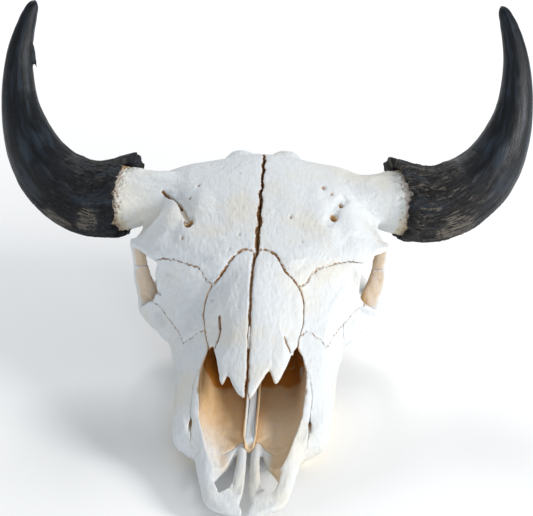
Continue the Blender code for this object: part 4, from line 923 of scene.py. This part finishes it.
def weathered_keratin(colours):
    """Horn sheath: keratin grown in layers of long fibres, blue-black and half polished by use.

    The eye gets a dark silky gloss with fine lines along the horn, and dull brown-grey layers that peel off
    near the base."""
    material, tree = new_material("weathered_keratin")
    smooth = {"interpolation_type": "SMOOTHSTEP"}
    along = node_add(tree, "ShaderNodeAttribute", attribute_name="along").outputs["Vector"]
    painted = {}
    for name in HORN_PAINTED:
        painted[name] = node_add(tree, "ShaderNodeAttribute", attribute_name=name).outputs["Fac"]
    noise = {}
    for name, (width, length, detail) in HORN_PATTERNS.items():
        drawn = node_add(tree, "ShaderNodeMapping", {"Vector": along, "Scale": (1.0 / width, 1.0 / width,
                                                                                1.0 / length)})
        noise[name] = node_add(tree, "ShaderNodeTexNoise", {"Vector": drawn.outputs[0], "Scale": 1000.0,
                                                            "Detail": detail}).outputs["Fac"]
    # How much of each pattern shows
    shown = {}
    for name, low, high, most in (("cloud", 0.46, 0.68, 0.9), ("line", 0.5, 0.75, 0.4),
                                  ("scale", 0.4, 0.58, 1.0), ("chip", 0.48, 0.64, 0.5)):
        shown[name] = node_add(tree, "ShaderNodeMapRange", {"Value": noise[name], "From Min": low,
                                                            "From Max": high, "To Max": most},
                               **smooth).outputs[0]
    # Blue-black horn with greyer clouds and lines, then the peeling layers' dull tops, pale chips and dark
    # cracks, and the rubbed places
    dusty, rubbed = (node_add(tree, "ShaderNodeMath", {0: painted[name], 1: shown["scale"]},
                              operation="MULTIPLY").outputs[0] for name in ("flake", "worn"))
    pale = node_add(tree, "ShaderNodeMath", {0: dusty, 1: shown["chip"]}, operation="MULTIPLY").outputs[0]
    base = rgba(colours.horn)
    layers = ((shown["cloud"], colours.horn_grey), (shown["line"], colours.horn_grey),
              (dusty, colours.horn_flake), (pale, colours.horn_worn), (painted["crack"], colours.horn),
              (rubbed, colours.horn_worn))
    for share, tint in layers:
        base = node_add(tree, "ShaderNodeMix", {0: share, 6: base, 7: rgba(tint)},
                        data_type="RGBA").outputs[2]
    # Roughness and fine relief: fibres everywhere, and scales where the horn peels
    scaly = painted["scaly"]
    dull = node_add(tree, "ShaderNodeMapRange", {"Value": scaly, "To Min": 0.36, "To Max": 0.66}).outputs[0]
    uneven = node_add(tree, "ShaderNodeMapRange", {"Value": noise["scale"], "From Min": 0.3, "From Max": 0.7,
                                                   "To Min": -0.06, "To Max": 0.12}).outputs[0]
    dull = node_add(tree, "ShaderNodeMath", {0: dull, 1: uneven}, operation="ADD", use_clamp=True).outputs[0]
    depth = node_add(tree, "ShaderNodeMapRange", {"Value": scaly, "To Min": 0.12, "To Max": 0.9}).outputs[0]
    bump = node_add(tree, "ShaderNodeBump", {"Height": noise["line"], "Strength": 0.45, "Distance": 0.0006})
    bump = node_add(tree, "ShaderNodeBump", {"Height": noise["scale"], "Strength": depth, "Distance": 0.0035,
                                             "Normal": bump.outputs[0]})
    shader = node_add(tree, "ShaderNodeBsdfPrincipled", {"Base Color": base, "Roughness": dull,
                                                         "Normal": bump.outputs[0], "IOR": 1.5,
                                                         "Specular IOR Level": 0.24})
    node_add(tree, "ShaderNodeOutputMaterial", {"Surface": shader.outputs[0]})
    return material


def matt_floor(colours):
    """Painted studio floor: even and matt, a little cloudy where it was rolled."""
    material, tree = new_material("matt_floor")
    place = node_add(tree, "ShaderNodeTexCoord").outputs["Object"]
    cloud = node_add(tree, "ShaderNodeTexNoise", {"Vector": place, "Scale": 1000.0 / FLOOR_CLOUD,
                                                  "Detail": 2.0}).outputs["Fac"]
    tint = node_add(tree, "ShaderNodeMapRange", {"Value": cloud, "To Min": 0.97}).outputs["Result"]
    shade = node_add(tree, "ShaderNodeVectorMath", {0: tuple(colours.floor), "Scale": tint},
                     operation="SCALE").outputs["Vector"]
    shader = node_add(tree, "ShaderNodeBsdfPrincipled", {"Base Color": shade, "Roughness": 0.9})
    node_add(tree, "ShaderNodeOutputMaterial", {"Surface": shader.outputs[0]})
    return material


def finish_piece(obj, material, node):
    obj.data.materials.clear()
    obj.data.materials.append(material)
    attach(obj, "root")
    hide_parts(node)


# Operators

class SKULL_OT_bones(Operator):
    """Covers every bone with fine dry bone, parted at the sutures"""
    bl_idname = "skull.bones"
    bl_label = "Bones"

    def execute(self, context):
        sizes = context.scene.skull_sizes
        material = bleached_bone(context.scene.skull_colours)
        forests = {node: tree_of([other for other in BONES if other != node]) for node in BONES}
        forests["horns"] = tree_of(HORNS)
        forests["all"] = tree_of(BONES + HORNS + ("vomer",))
        for node in BONES:
            obj = dress_bone(context, node, sizes, forests)
            finish_piece(obj, material, node)
        return {"FINISHED"}


class SKULL_OT_vomer(Operator):
    """Makes the stained gutter of the vomer in the middle of the nose"""
    bl_idname = "skull.vomer"
    bl_label = "Vomer"

    def execute(self, context):
        obj = fine_copy(context, "bone_vomer", "vomer", context.scene.skull_sizes, BONE_ROUNDS)
        mesh = obj.data
        co, normal = points_of(mesh)
        x, d, z = skull_place(co)
        side = np.abs(x - VOMER_X)
        height = 0.0003 * layered(co * 1000 / 6, 3, 81)
        # The bottom of the gutter lies a few millimetres under its lips
        lips = np.interp(d, VOMER_D, VOMER_LIPS)
        inside = ramp(*GUTTER_HALF, side) * ramp(0.1, 0.4, normal[:, 2])
        lift = 0.001 * inside * np.maximum(lips - GUTTER_DEPTH - z, 0) * ramp(97, 103, d) * ramp(262, 250, d)
        co = co + normal * height[:, None]
        co[:, 2] += lift
        set_points(mesh, co)
        for name in PAINTED[1:]:
            paint(mesh, name, np.zeros(len(co)))
        # The gutter inside is clean, its lips and outer sides are tan
        closed = 0.5 * (1 - ramp(5.6, 4.6, side)) + 0.2 * ramp(190, 240, d) + 0.45 * ramp(106, 99, d)
        paint(mesh, "closed", closed)
        finish_piece(obj, bpy.data.materials["bleached_bone"], "vomer")
        return {"FINISHED"}


class SKULL_OT_horns(Operator):
    """Makes the horn sheaths with their fibres and the layers that scale off at the base"""
    bl_idname = "skull.horns"
    bl_label = "Horn sheaths"

    def execute(self, context):
        material = weathered_keratin(context.scene.skull_colours)
        for node in HORNS:
            obj = dress_sheath(context, node, context.scene.skull_sizes)
            finish_piece(obj, material, node)
        return {"FINISHED"}


class SKULL_OT_stage(Operator):
    """Sets the floor, the soft studio light and the camera"""
    bl_idname = "skull.stage"
    bl_label = "Stage"

    def execute(self, context):
        scene = context.scene
        sizes = scene.skull_sizes
        corners = np.array(FLOOR_CORNERS, float) - (0, 0, FLOOR_DEPTH)
        floor = bpy.data.objects.new("floor", mesh_from("floor", corners, np.array(((0, 1, 2), (0, 2, 3)))))
        scene.collection.objects.link(floor)
        floor.data.materials.append(matt_floor(scene.skull_colours))
        world = bpy.data.worlds.new("studio")
        scene.world = world
        world.use_nodes = True
        background = world.node_tree.nodes["Background"]
        background.inputs["Color"].default_value = SKY
        background.inputs["Strength"].default_value = SKY_STRENGTH
        for lamp in LAMPS:
            self.lamp(scene, *lamp)
        scene.view_settings.view_transform = "Standard"
        camera = bpy.data.objects.new("camera", bpy.data.cameras.new("camera"))
        scene.collection.objects.link(camera)
        camera.data.lens = sizes.lens * 1000
        camera.data.sensor_width = SENSOR_WIDTH
        camera.data.sensor_fit = "HORIZONTAL"
        level = math.cos(CAMERA_RISE)
        back = Vector((math.sin(CAMERA_TURN) * level, -math.cos(CAMERA_TURN) * level, math.sin(CAMERA_RISE)))
        camera.location = Vector(CAMERA_AIM) + back * sizes.distance
        camera.rotation_euler = back.to_track_quat("Z", "Y").to_euler()
        scene.camera = camera
        return {"FINISHED"}

    def lamp(self, scene, name, place, size, power, tint, aim):
        data = bpy.data.lights.new(name, "AREA")
        data.shape = "DISK"
        data.size = size
        data.energy = power
        data.color = tint
        lamp = bpy.data.objects.new(name, data)
        lamp.location = place
        lamp.rotation_euler = (Vector(place) - Vector(aim)).to_track_quat("Z", "Y").to_euler()
        scene.collection.objects.link(lamp)


OPERATORS = (SKULL_OT_bones, SKULL_OT_vomer, SKULL_OT_horns, SKULL_OT_stage)


class SKULL_PT_panel(Panel):
    """Pieces of the skull, with their sizes and colours"""
    bl_idname = "SKULL_PT_panel"
    bl_label = "Bison skull"
    bl_space_type = "VIEW_3D"
    bl_region_type = "UI"
    bl_category = "Skull"

    def draw(self, context):
        column = self.layout.column()
        for operator in OPERATORS:
            column.operator(operator.bl_idname)
        for group in (context.scene.skull_sizes, context.scene.skull_colours):
            for name in group.bl_rna.properties.keys():
                if name not in {"rna_type", "name"}:
                    column.prop(group, name)


CLASSES = (SkullSizes, SkullColours) + OPERATORS + (SKULL_PT_panel,)


def register():
    for cls in CLASSES:
        bpy.utils.register_class(cls)
    bpy.types.Scene.skull_sizes = PointerProperty(type=SkullSizes)
    bpy.types.Scene.skull_colours = PointerProperty(type=SkullColours)


def unregister():
    del bpy.types.Scene.skull_colours
    del bpy.types.Scene.skull_sizes
    for cls in reversed(CLASSES):
        bpy.utils.unregister_class(cls)


def main():
    register()
    bpy.ops.skull.stage()
    bpy.ops.skull.bones()
    bpy.ops.skull.vomer()
    bpy.ops.skull.horns()


if __name__ == "__main__":
    main()
